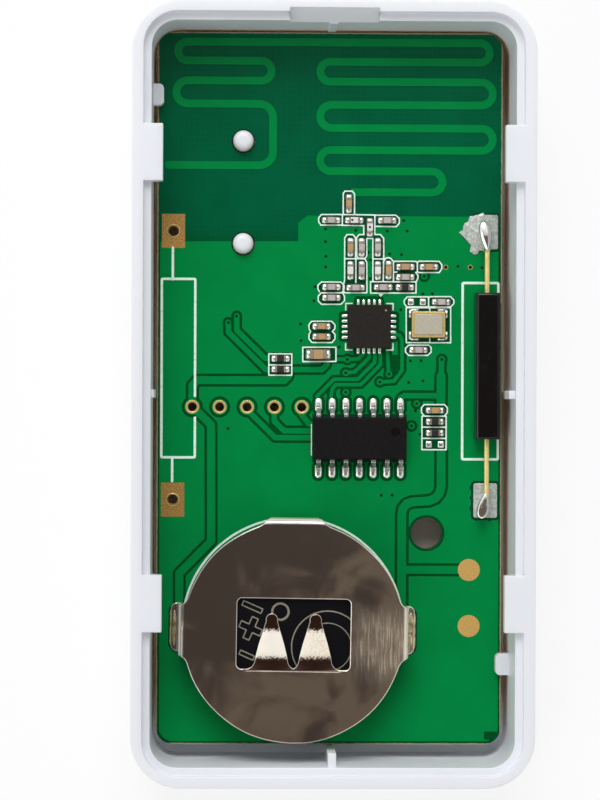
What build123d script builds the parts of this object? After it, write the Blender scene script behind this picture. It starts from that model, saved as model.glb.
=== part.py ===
from build123d import *
import os

# Door and window sensor, main unit, lying open on its front face. Millimetres.
# X runs across the housing, Y along it, Z up out of the open side.
# The origin is the middle of the front face. Board pieces are placed from the
# middle of the board's upper face, with the same X, Y and Z directions.

# Housing
HOUSING_H = 12.0
WALL = 1.75
FLOOR_T = 1.6
CORNER_R = 4.6
INNER_CORNER_R = 2.4
FRONT_EDGE_R = 1.2
LEDGE_W = 0.7
LEDGE_DROP = 0.8

# Gaps between the board and the housing's walls
GAP_LEFT = 0.35
GAP_RIGHT = 0.65
GAP_TOP = 0.2
GAP_BOTTOM = 1.3

# Catches for the back cover, placed from the housing's ends
CATCH_L = 5.15
CATCH_REACH = 1.05
CATCH_T = 2.2
CATCH_FROM_TOP = 13.75
CATCH_FROM_BOTTOM = 16.6

# Hooks that hold the board down, placed from the board's ends
HOOK_W = 2.0
HOOK_LAP = 0.6
HOOK_T = 1.1
HOOK_CORNER_R = 0.45
LEFT_HOOK_FROM_TOP = 5.95
RIGHT_HOOK_FROM_BOTTOM = 7.55

# Ribs at the middle of each wall, and the pry notch
RIB_W = 0.75
RIB_GAP = 0.08
RIB_TOP_DROP = 0.5
NOTCH_W = 8.1
NOTCH_BACK = 1.05
NOTCH_LIP_DEPTH = 0.35
NOTCH_SLOPE_DROP = 1.5

# Circuit board, and what holds it up
BOARD_T = 1.2
BOARD_CORNER_R = 1.6
STANDOFF = 2.6
SUPPORT_R = 1.3
SUPPORT_INSET_X = 2.6
SUPPORT_INSET_Y = 3.2
POST_R = 0.95
POST_RISE = 0.95
POST_DOME = 0.55
POST_CLEARANCE = 0.15
POST_BOSS_WALL = 0.75
POST_FROM_LEFT = 7.95
UPPER_POST_FROM_TOP = 10.1
POST_SPACING = 9.5

# How the board is laid out along its length, from the bottom edge up
CELL_FROM_BOTTOM = 0.75
CONTROLLER_FROM_CELL = 5.7
RADIO_FROM_CONTROLLER = 6.4
ANTENNA_FROM_RADIO = 10.45
ANTENNA_STEPS = (1.95, 1.95, 2.05, 2.15, 2.15, 1.85, 1.8)
ANTENNA_FROM_TOP = 0.9

# How it is laid out across its width, from the left edge
CLIP_FROM_LEFT = 1.37
RIGHT_ZONE_W = 8.03
HEADER_FROM_LEFT = 8.37
CONTROLLER_FROM_HEADER = 1.025
RADIO_DX = 0.85

# Copper on the board
COPPER_T = 0.05
PLATING = 0.08
TRACE_W = 0.73
RIGHT_TURNS_FROM_RIGHT = (5.2, 0.55, 0.55, 0.85)
MIDDLE_TURNS_FROM_LEFT = 14.7
ANTENNA_FEED_FROM_RADIO = -1.7
LEFT_STEPS = (1.75, 1.85, 2.15)
LEFT_TURNS_FROM_LEFT = (1.5, 10.9, 1.35)
LEFT_DROP_FROM_LEFT = 10.7
LEFT_DROP_L = 5.7
LEFT_DROP_R = 1.3
LEFT_END_FROM_LEFT = 1.0

# Programming header holes, fixing hole and test pads
HEADER_PITCH = 2.54
HEADER_COUNT = 5
HEADER_FROM_CONTROLLER = 2.85
HEADER_HOLE_R = 0.425
HEADER_RING_R = 0.7
FIXING_HOLE_R = 1.45
FIXING_HOLE_FROM_RIGHT = 6.95
FIXING_HOLE_FROM_CELL = 8.85
TEST_PAD_R = 1.02
TEST_PAD_FROM_RIGHT = 3.0
TEST_PAD_FROM_CELL = 0.25
TEST_PAD_SPACING = 5.2

# Reed switch and its two sets of pads
REED_FROM_EDGE = 1.5
REED_FROM_CONTROLLER = 6.7
REED_BODY_W = 2.2
REED_BODY_L = 13.5
REED_BODY_H = 2.3
REED_BODY_EDGE_R = 0.3
REED_LEAD_R = 0.22
REED_LEAD_H = 1.15
REED_LEAD_L = 5.7
REED_BEND_R = 0.6
REED_LEAD_BELOW = 0.5
REED_PAD_W = 2.15
REED_PAD_L = 3.15
REED_PAD_HOLE_R = 0.52
GLASS_R = 0.85
GLASS_WALL = 0.22
GLASS_COVER_L = 2.25
GLASS_SEAL_L = 0.9
GLASS_FIT = 0.03
BLADE_W = 0.75
BLADE_T = 0.18
BLADE_GAP = 0.08
BLADE_LAP = 0.9
BLADE_HINGE_GAP = 0.04

# Solder on the reed leads: half width, half length and height of each mound
UPPER_MOUND_W = 0.62
UPPER_MOUND_L = 1.25
UPPER_MOUND_H = 1.75
LOWER_MOUND_W = 0.5
LOWER_MOUND_L = 1.0
LOWER_MOUND_H = 1.6
SPLASH_T = 0.12
SPLASH_MARGIN = 0.1

# Controller chip with gull wing leads
CONTROLLER_L = 8.65
CONTROLLER_W = 3.9
CONTROLLER_H = 1.45
CONTROLLER_LIFT = 0.15
CONTROLLER_TAPER = 7
CONTROLLER_PINS = 7
CONTROLLER_PITCH = 1.27
DIMPLE_R = 0.42
DIMPLE_DEPTH = 0.08
DIMPLE_FROM_END = 1.05
DIMPLE_FROM_SIDE = 1.35
LEAD_W = 0.42
LEAD_T = 0.2
LEAD_SHOULDER = 0.3
LEAD_REACH = 1.15
LEAD_FOOT = 0.5
CONTROLLER_PAD_W = 0.6
CONTROLLER_PAD_IN = 0.2
CONTROLLER_PAD_OUT = 0.6

# Radio chip without leads
RADIO_W = 4.0
RADIO_H = 0.85
RADIO_PINS = 5
RADIO_PITCH = 0.5
RADIO_PAD_W = 0.28
RADIO_PAD_L = 0.95
RADIO_PAD_OUT = 0.55
RADIO_PADDLE_W = 2.6
RADIO_PAD_T = 0.08

# Crystal, placed from the radio chip
CRYSTAL_DX = 5.5
CRYSTAL_DY = 0.2
CRYSTAL_L = 3.2
CRYSTAL_W = 2.5
CRYSTAL_BASE_H = 0.5
CRYSTAL_RING_INSET = 0.14
CRYSTAL_RING_T = 0.1
CRYSTAL_LID_INSET = 0.32
CRYSTAL_LID_T = 0.1
CRYSTAL_PAD_L = 1.15
CRYSTAL_PAD_W = 0.95
CRYSTAL_PAD_OUT = 0.22

# Small chips, and one larger capacitor
CHIP_L = 1.05
CHIP_W = 0.52
CHIP_H = 0.42
CHIP_CAP_L = 0.26
CAP_SKIN = 0.02
CHIP_PAD_OUT = 0.36
CHIP_PAD_SIDE = 0.06
CHIP_SOLDER_H = 0.29
LARGE_L = 1.65
LARGE_W = 0.85
LARGE_H = 0.75
LARGE_CAP_L = 0.36
LARGE_SOLDER_H = 0.52
EMPTY_PAD_L = 0.6
EMPTY_PAD_W = 0.62
EMPTY_PAD_PITCH = 1.12

# Where the small chips stand: what they stand beside, how far off in X and Y,
# and whether the chip lies along Y
RADIO, CONTROLLER = "radio", "controller"
ACROSS, ALONG = 0, 90
TAN_CAPACITORS = (
    (RADIO, -1.9, 11.4, ALONG), (RADIO, -1.75, 7.35, ALONG), (RADIO, 1.8, 5.25, ALONG),
    (RADIO, 3.35, 5.55, ACROSS), (RADIO, 5.55, 5.55, ACROSS), (RADIO, -4.4, 0.0, ACROSS),
    (RADIO, -4.4, -0.95, ACROSS), (CONTROLLER, 7.0, 2.6, ACROSS),
)
GREY_CAPACITORS = (
    (RADIO, -3.55, 9.85, ACROSS), (RADIO, 1.65, 9.85, ACROSS), (RADIO, -0.7, 7.35, ALONG),
    (RADIO, 0.8, 7.35, ALONG), (RADIO, -0.7, 5.2, ALONG), (RADIO, 3.35, 4.6, ACROSS),
    (RADIO, -1.25, 3.6, ACROSS), (RADIO, 1.3, 3.65, ACROSS), (RADIO, -3.5, 3.65, ACROSS),
    (RADIO, -3.5, 2.65, ACROSS), (RADIO, 6.7, 2.3, ACROSS), (RADIO, 4.6, -2.15, ACROSS),
)
CHIP_INDUCTORS = (
    (RADIO, -1.4, 9.85, ACROSS), (RADIO, 0.05, 9.2, ALONG), (RADIO, -1.75, 5.2, ALONG),
    (RADIO, 0.8, 5.2, ALONG),
)
CHIP_RESISTORS = (
    (RADIO, 3.32, 3.65, ACROSS), (RADIO, -8.2, -3.0, ACROSS), (RADIO, -8.2, -4.0, ACROSS),
    (CONTROLLER, 7.0, 1.55, ACROSS), (CONTROLLER, 7.0, 0.5, ACROSS),
)
LARGE_CAPACITOR = ((RADIO, -4.7, -2.6, ACROSS),)
EMPTY_PADS = ((RADIO, 4.45, 2.3, ACROSS), (CONTROLLER, 7.0, -0.55, ACROSS))

# Coin cell
CELL_R = 10.0
CELL_H = 3.2
CAN_T = 0.25
CAN_EDGE_R = 0.4
CELL_STEP = 0.35
CAP_INSET = 1.4
GASKET_FIT = 0.02
MINUS_PAD_INSET = 3.0

# Battery clip, turned a little on the board
CLIP_TURN = -0.8
CLIP_T = 0.25
CLIP_PLATE_LAP = 0.15
CLIP_HEADROOM = 0.4
CLIP_SIDE_GAP = 0.2
CLIP_STOP_GAP = 0.08
CLIP_STOP_W = 4.5
CLIP_STOP_DEPTH = 2.4
CLIP_EAR_W = 4.5
CLIP_FOOT_L = 0.85
CLIP_FOOT_CORNER_R = 0.75
WINDOW_W = 10.35
WINDOW_TOP = 3.05
WINDOW_BOTTOM = -3.4
WINDOW_CORNER_R = 0.5
FINGER_X = 2.0
FINGER_TIP_Y = 1.65
FINGER_TIP_W = 1.0
FINGER_BASE_W = 3.4
FINGER_TOUCH_Y = 0.6
FINGER_TIP_LIFT = 0.22
FINGER_GAP = 0.03
CLIP_SOLDER_T = 0.16
CLIP_SOLDER_MARGIN = 0.2
CLIP_PAD_MARGIN = 0.35

# Status lamp on the underside, and the light window under it
LAMP_FROM_LEFT = 7.0
LAMP_FROM_RADIO = 0.6
LAMP_L = 1.6
LAMP_W = 0.8
LAMP_BASE_H = 0.35
LAMP_LENS_L = 1.0
LAMP_LENS_H = 0.3
LIGHT_WINDOW_R = 1.2
LIGHT_FLANGE_R = 1.7
LIGHT_FLANGE_T = 0.5
LIGHT_FIT = 0.05
LIGHT_GAP = 0.3

# Clip, board and housing sizes that follow from the ones above
LEG_X = CELL_R + CLIP_SIDE_GAP
CLIP_REACH = LEG_X + CLIP_T + CLIP_FOOT_L
BOARD_W = CLIP_FROM_LEFT + 2 * CLIP_REACH + RIGHT_ZONE_W
BOARD_L = (
    CELL_FROM_BOTTOM + 2 * CELL_R + CONTROLLER_FROM_CELL + CONTROLLER_W + RADIO_FROM_CONTROLLER
    + RADIO_W + ANTENNA_FROM_RADIO + sum(ANTENNA_STEPS) + ANTENNA_FROM_TOP
)
CAVITY_W = BOARD_W + GAP_LEFT + GAP_RIGHT
CAVITY_L = BOARD_L + GAP_TOP + GAP_BOTTOM
HOUSING_W = CAVITY_W + 2 * WALL
HOUSING_L = CAVITY_L + 2 * WALL
BOARD_SHIFT_X = (GAP_LEFT - GAP_RIGHT) / 2
BOARD_SHIFT_Y = (GAP_BOTTOM - GAP_TOP) / 2
BOARD_UNDER = FLOOR_T + STANDOFF
BOARD_TOP = BOARD_UNDER + BOARD_T

# Places on the board, from its middle
LEFT, RIGHT = -BOARD_W / 2, BOARD_W / 2
BOTTOM, TOP = -BOARD_L / 2, BOARD_L / 2
CELL = (LEFT + CLIP_FROM_LEFT + CLIP_REACH, BOTTOM + CELL_FROM_BOTTOM + CELL_R)
CONTROLLER_Y = CELL[1] + CELL_R + CONTROLLER_FROM_CELL + CONTROLLER_W / 2
RADIO_Y = CONTROLLER_Y + (CONTROLLER_W + RADIO_W) / 2 + RADIO_FROM_CONTROLLER
HEADER_MIDDLE = (LEFT + HEADER_FROM_LEFT, CONTROLLER_Y + HEADER_FROM_CONTROLLER)
HEADER_END_X = HEADER_MIDDLE[0] + (HEADER_COUNT - 1) / 2 * HEADER_PITCH
CONTROLLER_X = HEADER_END_X + CONTROLLER_FROM_HEADER + CONTROLLER_L / 2
ANCHORS = {
    CONTROLLER: (CONTROLLER_X, CONTROLLER_Y),
    RADIO: (CONTROLLER_X + RADIO_DX, RADIO_Y),
}
POSTS = [
    (LEFT + POST_FROM_LEFT, TOP - UPPER_POST_FROM_TOP - index * POST_SPACING)
    for index in range(2)
]
FIXING_HOLE = (RIGHT - FIXING_HOLE_FROM_RIGHT, CELL[1] + FIXING_HOLE_FROM_CELL)
TEST_PADS = [
    (RIGHT - TEST_PAD_FROM_RIGHT, CELL[1] + TEST_PAD_FROM_CELL + index * TEST_PAD_SPACING)
    for index in range(2)
]
REED_X = RIGHT - REED_FROM_EDGE
REED_Y = CONTROLLER_Y + REED_FROM_CONTROLLER
REED_REACH = REED_BODY_L / 2 + REED_LEAD_L
REED_PAD_Y = (REED_Y + REED_REACH, REED_Y - REED_REACH)
GLASS_L = REED_BODY_L - 2 * GLASS_COVER_L
LAMP = (LEFT + LAMP_FROM_LEFT, RADIO_Y + LAMP_FROM_RADIO)
CELL_BOTTOM = COPPER_T
CELL_TOP = CELL_BOTTOM + CELL_H
CAP_R = CELL_R - CAP_INSET
PLATE_UNDER = CELL_TOP + CLIP_HEADROOM
SMALL_CHIPS = TAN_CAPACITORS + GREY_CAPACITORS + CHIP_INDUCTORS + CHIP_RESISTORS


def on_board(shape):
    """Move a piece from board places to the housing's frame."""
    return Pos(BOARD_SHIFT_X, BOARD_SHIFT_Y, BOARD_TOP) * shape


def slab(width, length, height, z=0.0, radius=0.0):
    """A flat block whose underside is at z, with rounded upright corners."""
    face = RectangleRounded(width, length, radius) if radius else Rectangle(width, length)
    return Pos(0, 0, z) * extrude(face, height)


def disc(radius, height, z=0.0):
    """A round plate whose underside is at z."""
    return Pos(0, 0, z) * Cylinder(radius, height, align=(Align.CENTER, Align.CENTER, Align.MIN))


def side_profile(points, width):
    """A solid of the given width in X, from (y, z) points of its side view."""
    face = make_face(Plane.YZ * Polyline(*points, close=True))
    return Pos(-width / 2, 0, 0) * extrude(face, width, dir=(1, 0, 0))


def save(name, shapes):
    """Write one node's solids to its own file."""
    solids = [solid for shape in shapes for solid in shape.solids()]
    export_step(Compound(children=solids), f"parts/{name}.step")


def housing_shell():
    """The tray with its stepped rim."""
    body = slab(HOUSING_W, HOUSING_L, HOUSING_H, 0, CORNER_R)
    body = fillet(body.faces().sort_by(Axis.Z)[0].edges(), FRONT_EDGE_R)
    cavity = slab(CAVITY_W, CAVITY_L, HOUSING_H, FLOOR_T, INNER_CORNER_R)
    step = slab(
        CAVITY_W + 2 * LEDGE_W, CAVITY_L + 2 * LEDGE_W, 2 * LEDGE_DROP,
        HOUSING_H - LEDGE_DROP, INNER_CORNER_R + LEDGE_W,
    )
    return body - cavity - step


def cover_catch(side, y):
    """One catch, flush with the rim, sloped underneath."""
    wall_x = CAVITY_W / 2 + LEDGE_W
    tip_x = CAVITY_W / 2 - CATCH_REACH
    top = HOUSING_H
    points = (
        (wall_x, top), (tip_x, top), (tip_x, top - CATCH_T + CATCH_REACH),
        (CAVITY_W / 2, top - CATCH_T), (wall_x, top - CATCH_T),
    )
    face = make_face(Plane.XZ * Polyline(*[(side * x, z) for x, z in points], close=True))
    return Pos(0, y, 0) * extrude(face, CATCH_L / 2, both=True)


def board_hook(side, y):
    """One hook over the board's edge, with a rounded end."""
    board_edge = BOARD_SHIFT_X + side * BOARD_W / 2
    tip_x = board_edge - side * HOOK_LAP
    root_x = side * (CAVITY_W / 2 + LEDGE_W / 2)
    length = abs(root_x - tip_x)
    block = Pos((root_x + tip_x) / 2, y, 0) * slab(length, HOOK_W, HOOK_T, BOARD_TOP)
    tip_edges = block.edges().filter_by(Axis.Z).sort_by_distance((tip_x, y, BOARD_TOP))[:2]
    return fillet(tip_edges, HOOK_CORNER_R)


def wall_ribs():
    """A thin rib at the middle of each wall, almost touching the board."""
    top = HOUSING_H - LEDGE_DROP - RIB_TOP_DROP
    height = top - FLOOR_T
    root = WALL / 2
    ribs = []
    for side in (-1, 1):
        wall = CAVITY_W / 2 + root
        board_edge = side * BOARD_SHIFT_X + BOARD_W / 2 + RIB_GAP
        reach = wall - board_edge
        ribs.append(Pos(side * (wall - reach / 2), 0, 0) * slab(reach, RIB_W, height, FLOOR_T))
        wall = CAVITY_L / 2 + root
        board_edge = side * BOARD_SHIFT_Y + BOARD_L / 2 + RIB_GAP
        reach = wall - board_edge
        ribs.append(Pos(0, side * (wall - reach / 2), 0) * slab(RIB_W, reach, height, FLOOR_T))
    return ribs


def locating_post(x, y):
    """A domed post through the board, on a wider boss under it."""
    boss = disc(POST_R + POST_BOSS_WALL, STANDOFF, FLOOR_T)
    pin = disc(POST_R, STANDOFF + BOARD_T + POST_RISE, FLOOR_T)
    pin = fillet(pin.faces().sort_by(Axis.Z)[-1].edges(), POST_DOME)
    return Pos(BOARD_SHIFT_X + x, BOARD_SHIFT_Y + y, 0) * (boss + pin)


def board_supports():
    """Round supports near the board's corners."""
    reach_x = BOARD_W / 2 - SUPPORT_INSET_X
    reach_y = BOARD_L / 2 - SUPPORT_INSET_Y
    spots = GridLocations(2 * reach_x, 2 * reach_y, 2, 2)
    return [
        Pos(BOARD_SHIFT_X, BOARD_SHIFT_Y, 0) * spot * disc(SUPPORT_R, STANDOFF, FLOOR_T)
        for spot in spots
    ]


def pry_notch():
    """The sloping notch in the top rim, cut from the inside."""
    inner_y = CAVITY_L / 2
    points = (
        (inner_y - WALL, HOUSING_H + WALL), (inner_y + NOTCH_BACK, HOUSING_H + WALL),
        (inner_y + NOTCH_BACK, HOUSING_H - NOTCH_LIP_DEPTH),
        (inner_y, HOUSING_H - NOTCH_LIP_DEPTH - NOTCH_SLOPE_DROP),
        (inner_y - WALL, HOUSING_H - NOTCH_LIP_DEPTH - NOTCH_SLOPE_DROP),
    )
    return side_profile(points, NOTCH_W)


def front_housing():
    """Tray, catches, hooks, ribs, posts and supports in one moulding."""
    body = housing_shell()
    for side in (-1, 1):
        body += cover_catch(side, HOUSING_L / 2 - CATCH_FROM_TOP)
        body += cover_catch(side, CATCH_FROM_BOTTOM - HOUSING_L / 2)
    body += board_hook(-1, BOARD_SHIFT_Y + TOP - LEFT_HOOK_FROM_TOP)
    body += board_hook(1, BOARD_SHIFT_Y + BOTTOM + RIGHT_HOOK_FROM_BOTTOM)
    for rib in wall_ribs():
        body += rib
    body -= pry_notch()
    for x, y in POSTS:
        body += locating_post(x, y)
    for support in board_supports():
        body += support
    lamp_x, lamp_y = BOARD_SHIFT_X + LAMP[0], BOARD_SHIFT_Y + LAMP[1]
    body -= Pos(lamp_x, lamp_y, 0) * Cylinder(LIGHT_WINDOW_R + LIGHT_FIT, 4 * FLOOR_T)
    return [body]


def light_window():
    """Clear plug in the front face, with a flange inside and a pipe up to the lamp."""
    lens_under = BOARD_UNDER - LAMP_BASE_H - LAMP_LENS_H
    plug = disc(LIGHT_WINDOW_R, lens_under - LIGHT_GAP)
    flange = disc(LIGHT_FLANGE_R, LIGHT_FLANGE_T, FLOOR_T)
    return [Pos(BOARD_SHIFT_X + LAMP[0], BOARD_SHIFT_Y + LAMP[1], 0) * (plug + flange)]


def status_led():
    """The lamp's base against the board's underside, and its lens below it."""
    base = Pos(*LAMP, 0) * slab(LAMP_L, LAMP_W, LAMP_BASE_H, -BOARD_T - LAMP_BASE_H)
    lens_z = -BOARD_T - LAMP_BASE_H - LAMP_LENS_H
    lens = Pos(*LAMP, 0) * slab(LAMP_LENS_L, LAMP_W, LAMP_LENS_H, lens_z)
    return [on_board(base)], [on_board(lens)]


def header_spots():
    """The middles of the programming header's holes."""
    first = HEADER_MIDDLE[0] - HEADER_PITCH * (HEADER_COUNT - 1) / 2
    return [(first + index * HEADER_PITCH, HEADER_MIDDLE[1]) for index in range(HEADER_COUNT)]


def reed_pad_spots(side):
    """The two reed switch pads on one side of the board."""
    return [(side * REED_X, y) for y in REED_PAD_Y]


def circuit_board():
    """The bare board with its holes."""
    board = slab(BOARD_W, BOARD_L, BOARD_T, -BOARD_T, BOARD_CORNER_R)
    holes = [(spot, POST_R + POST_CLEARANCE) for spot in POSTS]
    holes.append((FIXING_HOLE, FIXING_HOLE_R))
    holes += [(spot, HEADER_HOLE_R + PLATING) for spot in header_spots()]
    for side in (-1, 1):
        holes += [(spot, REED_PAD_HOLE_R + PLATING) for spot in reed_pad_spots(side)]
    for (x, y), radius in holes:
        board -= Pos(x, y, 0) * Cylinder(radius, 3 * BOARD_T)
    return [on_board(board)]


def run(x_from, x_to, y):
    """A straight stretch of the antenna along X."""
    return Pos((x_from + x_to) / 2, y) * Rectangle(abs(x_to - x_from), TRACE_W)


def turn(outer_x, y_from, y_to, side):
    """A half ring that joins two rows, bulging to outer_x."""
    radius = abs(y_to - y_from) / 2 + TRACE_W / 2
    ring = Circle(radius) - Circle(radius - TRACE_W)
    half = ring - Pos(-side * radius, 0) * Rectangle(2 * radius, 3 * radius)
    return Pos(outer_x - side * radius, (y_from + y_to) / 2) * half


def turn_start(outer_x, y_from, y_to, side):
    """Where the straight rows meet that half ring."""
    return outer_x - side * (abs(y_to - y_from) + TRACE_W) / 2


def antenna_path():
    """Each row's height, and each turn's outer place, from the feed to the left side."""
    first = ANCHORS[RADIO][1] + RADIO_W / 2 + ANTENNA_FROM_RADIO
    rows = [first]
    for step in ANTENNA_STEPS:
        rows.append(rows[-1] + step)
    for step in LEFT_STEPS:
        rows.append(rows[-1] - step)
    turns = []
    for inset in RIGHT_TURNS_FROM_RIGHT:
        turns += [RIGHT - inset, LEFT + MIDDLE_TURNS_FROM_LEFT]
    turns[-1:] = [LEFT + inset for inset in LEFT_TURNS_FROM_LEFT]
    return rows, turns


def antenna_trace():
    """One unbroken meander from the feed to its open end."""
    shape = Sketch()
    rows, turns = antenna_path()
    x = ANCHORS[RADIO][0] + ANTENNA_FEED_FROM_RADIO
    side = 1
    for outer_x, y, y_next in zip(turns, rows, rows[1:]):
        end = turn_start(outer_x, y, y_next, side)
        shape += run(x, end, y)
        shape += turn(outer_x, y, y_next, side)
        x = end
        side = -side
    drop_x = LEFT + LEFT_DROP_FROM_LEFT
    corner_x = drop_x - LEFT_DROP_R
    end_x = LEFT + LEFT_END_FROM_LEFT
    end_y = rows[-1] - LEFT_DROP_L
    middle = rows[-1] - LEFT_DROP_L / 2
    drop = LEFT_DROP_L - 2 * LEFT_DROP_R
    shape += run(x, corner_x, rows[-1])
    shape += Pos(drop_x, middle) * Rectangle(TRACE_W, drop)
    bend = Circle(LEFT_DROP_R + TRACE_W / 2) - Circle(LEFT_DROP_R - TRACE_W / 2)
    box = Rectangle(2 * LEFT_DROP_R, 2 * LEFT_DROP_R)
    for way in (1, -1):
        quarter = bend & (Pos(LEFT_DROP_R, way * LEFT_DROP_R) * box)
        shape += Pos(corner_x, middle + way * drop / 2) * quarter
    shape += run(corner_x, end_x, end_y)
    shape += Pos(end_x, end_y) * Circle(TRACE_W / 2)
    return [on_board(extrude(shape, COPPER_T))]


def plated_barrel(face, hole_r):
    """A pad on both faces of the board joined by its plated hole."""
    upper = extrude(face, COPPER_T)
    lower = Pos(0, 0, -BOARD_T - COPPER_T) * extrude(face, COPPER_T)
    barrel = disc(hole_r + PLATING, BOARD_T, -BOARD_T)
    return upper + lower + barrel - Cylinder(hole_r, 4 * BOARD_T)


def header_eyelets():
    """Five plated holes in a line."""
    eyelet = plated_barrel(Circle(HEADER_RING_R), HEADER_HOLE_R)
    return [on_board(Pos(x, y, 0) * eyelet) for x, y in header_spots()]


def reed_pads(side):
    """The two plated pads for a reed switch on one side."""
    pad = plated_barrel(Rectangle(REED_PAD_W, REED_PAD_L), REED_PAD_HOLE_R)
    return [on_board(Pos(x, y, 0) * pad) for x, y in reed_pad_spots(side)]


def test_pads():
    """Two round test pads."""
    return [on_board(Pos(x, y, 0) * disc(TEST_PAD_R, COPPER_T)) for x, y in TEST_PADS]


def minus_pad():
    """The pad that the cell's minus face rests on."""
    return [on_board(Pos(*CELL, 0) * disc(CELL_R - MINUS_PAD_INSET, COPPER_T))]


def reed_at(shape):
    """Move a piece from the reed switch's middle, on its lead line, to its place."""
    return on_board(Pos(REED_X, REED_Y, REED_LEAD_H) * shape)


def along_y(radius, y_from, y_to):
    """A round bar along Y."""
    length = y_to - y_from
    return Pos(0, (y_from + y_to) / 2, 0) * Rot(90, 0, 0) * Cylinder(radius, length)


def reed_body():
    """The moulding round the glass, with the lead holes at its ends."""
    block = slab(REED_BODY_W, REED_BODY_L, REED_BODY_H - COPPER_T, COPPER_T - REED_LEAD_H)
    block = fillet(block.faces().sort_by(Axis.Z)[-1].edges(), REED_BODY_EDGE_R)
    pocket = along_y(GLASS_R + GLASS_FIT, -GLASS_L / 2, GLASS_L / 2)
    leads = along_y(REED_LEAD_R, -REED_BODY_L, REED_BODY_L)
    return [reed_at(block - pocket - leads)]


def reed_glass():
    """The sealed glass capsule."""
    tube = along_y(GLASS_R, -GLASS_L / 2, GLASS_L / 2)
    inside = GLASS_L / 2 - GLASS_SEAL_L
    hollow = along_y(GLASS_R - GLASS_WALL, -inside, inside)
    leads = along_y(REED_LEAD_R, -GLASS_L, GLASS_L)
    return [reed_at(tube - hollow - leads)]


def reed_lead(side):
    """A lead from the glass seal, out of the moulding and down through its pad."""
    inside = GLASS_L / 2 - GLASS_SEAL_L
    down = REED_LEAD_H + BOARD_T + REED_LEAD_BELOW
    path = FilletPolyline(
        (0, side * inside, 0), (0, side * REED_REACH, 0), (0, side * REED_REACH, -down),
        radius=REED_BEND_R,
    )
    section = Plane(origin=(0, side * inside, 0), z_dir=(0, side, 0)) * Circle(REED_LEAD_R)
    return sweep(section, path=path)


def reed_blades():
    """The fixed blade with its lead, the moving blade, and the moving blade's lead."""
    inside = GLASS_L / 2 - GLASS_SEAL_L
    tip = BLADE_LAP / 2
    lower_z = -BLADE_GAP / 2 - BLADE_T
    fixed_l = inside + tip
    fixed = Pos(0, inside - fixed_l / 2, 0) * slab(BLADE_W, fixed_l, BLADE_T, lower_z)
    fixed = fixed + reed_lead(1)
    moving_l = inside + tip - BLADE_HINGE_GAP
    moving = Pos(0, tip - moving_l / 2, 0) * slab(BLADE_W, moving_l, BLADE_T, BLADE_GAP / 2)
    return [reed_at(fixed)], [reed_at(moving)], [reed_at(reed_lead(-1))]


def reed_solder():
    """A mound of solder over each reed lead, on a thin splash."""
    sizes = (
        (UPPER_MOUND_W, UPPER_MOUND_L, UPPER_MOUND_H), (LOWER_MOUND_W, LOWER_MOUND_L, LOWER_MOUND_H),
    )
    leads = Pos(REED_X, REED_Y, REED_LEAD_H) * (reed_lead(1) + reed_lead(-1))
    splash = extrude(
        Ellipse(REED_PAD_W / 2 - SPLASH_MARGIN, REED_PAD_L / 2 - SPLASH_MARGIN), SPLASH_T,
    )
    mounds = []
    for y, (wide, long, high) in zip(REED_PAD_Y, sizes):
        dome = scale(Sphere(1), by=(wide, long, high))
        dome = dome & Pos(0, 0, high) * Box(4 * wide, 4 * long, 2 * high)
        mounds.append(on_board(Pos(REED_X, y, COPPER_T) * (dome + splash) - leads))
    return mounds


def controller_body():
    """The moulded body with sloped sides and the pin one dimple."""
    half = CONTROLLER_H / 2
    outline = Rectangle(CONTROLLER_L, CONTROLLER_W)
    middle = CONTROLLER_LIFT + half
    upper = Pos(0, 0, middle) * extrude(outline, half, taper=CONTROLLER_TAPER)
    lower = Pos(0, 0, middle) * extrude(outline, -half, taper=CONTROLLER_TAPER)
    body = upper + lower
    dimple_spot = Pos(CONTROLLER_L / 2 - DIMPLE_FROM_END, CONTROLLER_W / 2 - DIMPLE_FROM_SIDE, 0)
    dimple = disc(DIMPLE_R, DIMPLE_DEPTH * 2, CONTROLLER_LIFT + CONTROLLER_H - DIMPLE_DEPTH)
    return [on_board(Pos(*ANCHORS[CONTROLLER], 0) * (body - dimple_spot * dimple))]


def controller_lead():
    """One gull wing lead, standing out along +Y from the body's side."""
    top = CONTROLLER_LIFT + CONTROLLER_H / 2 + LEAD_T / 2
    foot = COPPER_T
    points = (
        (0, top), (LEAD_SHOULDER, top), (LEAD_REACH - LEAD_FOOT + LEAD_T, foot + LEAD_T),
        (LEAD_REACH, foot + LEAD_T), (LEAD_REACH, foot), (LEAD_REACH - LEAD_FOOT, foot),
        (LEAD_SHOULDER - LEAD_T, top - LEAD_T), (0, top - LEAD_T),
    )
    return side_profile(points, LEAD_W)


def controller_spots():
    """Each pin's place at the body's side, and its half turn."""
    first = -CONTROLLER_PITCH * (CONTROLLER_PINS - 1) / 2
    middle_x, middle_y = ANCHORS[CONTROLLER]
    spots = []
    for index in range(CONTROLLER_PINS):
        x = middle_x + first + index * CONTROLLER_PITCH
        spots.append((x, middle_y + CONTROLLER_W / 2, 0))
        spots.append((x, middle_y - CONTROLLER_W / 2, 180))
    return spots


def controller_leads():
    """All the controller's leads."""
    lead = controller_lead()
    return [on_board(Pos(x, y, 0) * Rot(0, 0, angle) * lead) for x, y, angle in controller_spots()]


def controller_pads():
    """The tinned pad under each lead."""
    length = CONTROLLER_PAD_IN + LEAD_FOOT + CONTROLLER_PAD_OUT
    middle = LEAD_REACH + CONTROLLER_PAD_OUT - length / 2
    pad = Pos(0, middle, 0) * slab(CONTROLLER_PAD_W, length, COPPER_T)
    return [on_board(Pos(x, y, 0) * Rot(0, 0, angle) * pad) for x, y, angle in controller_spots()]


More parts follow.
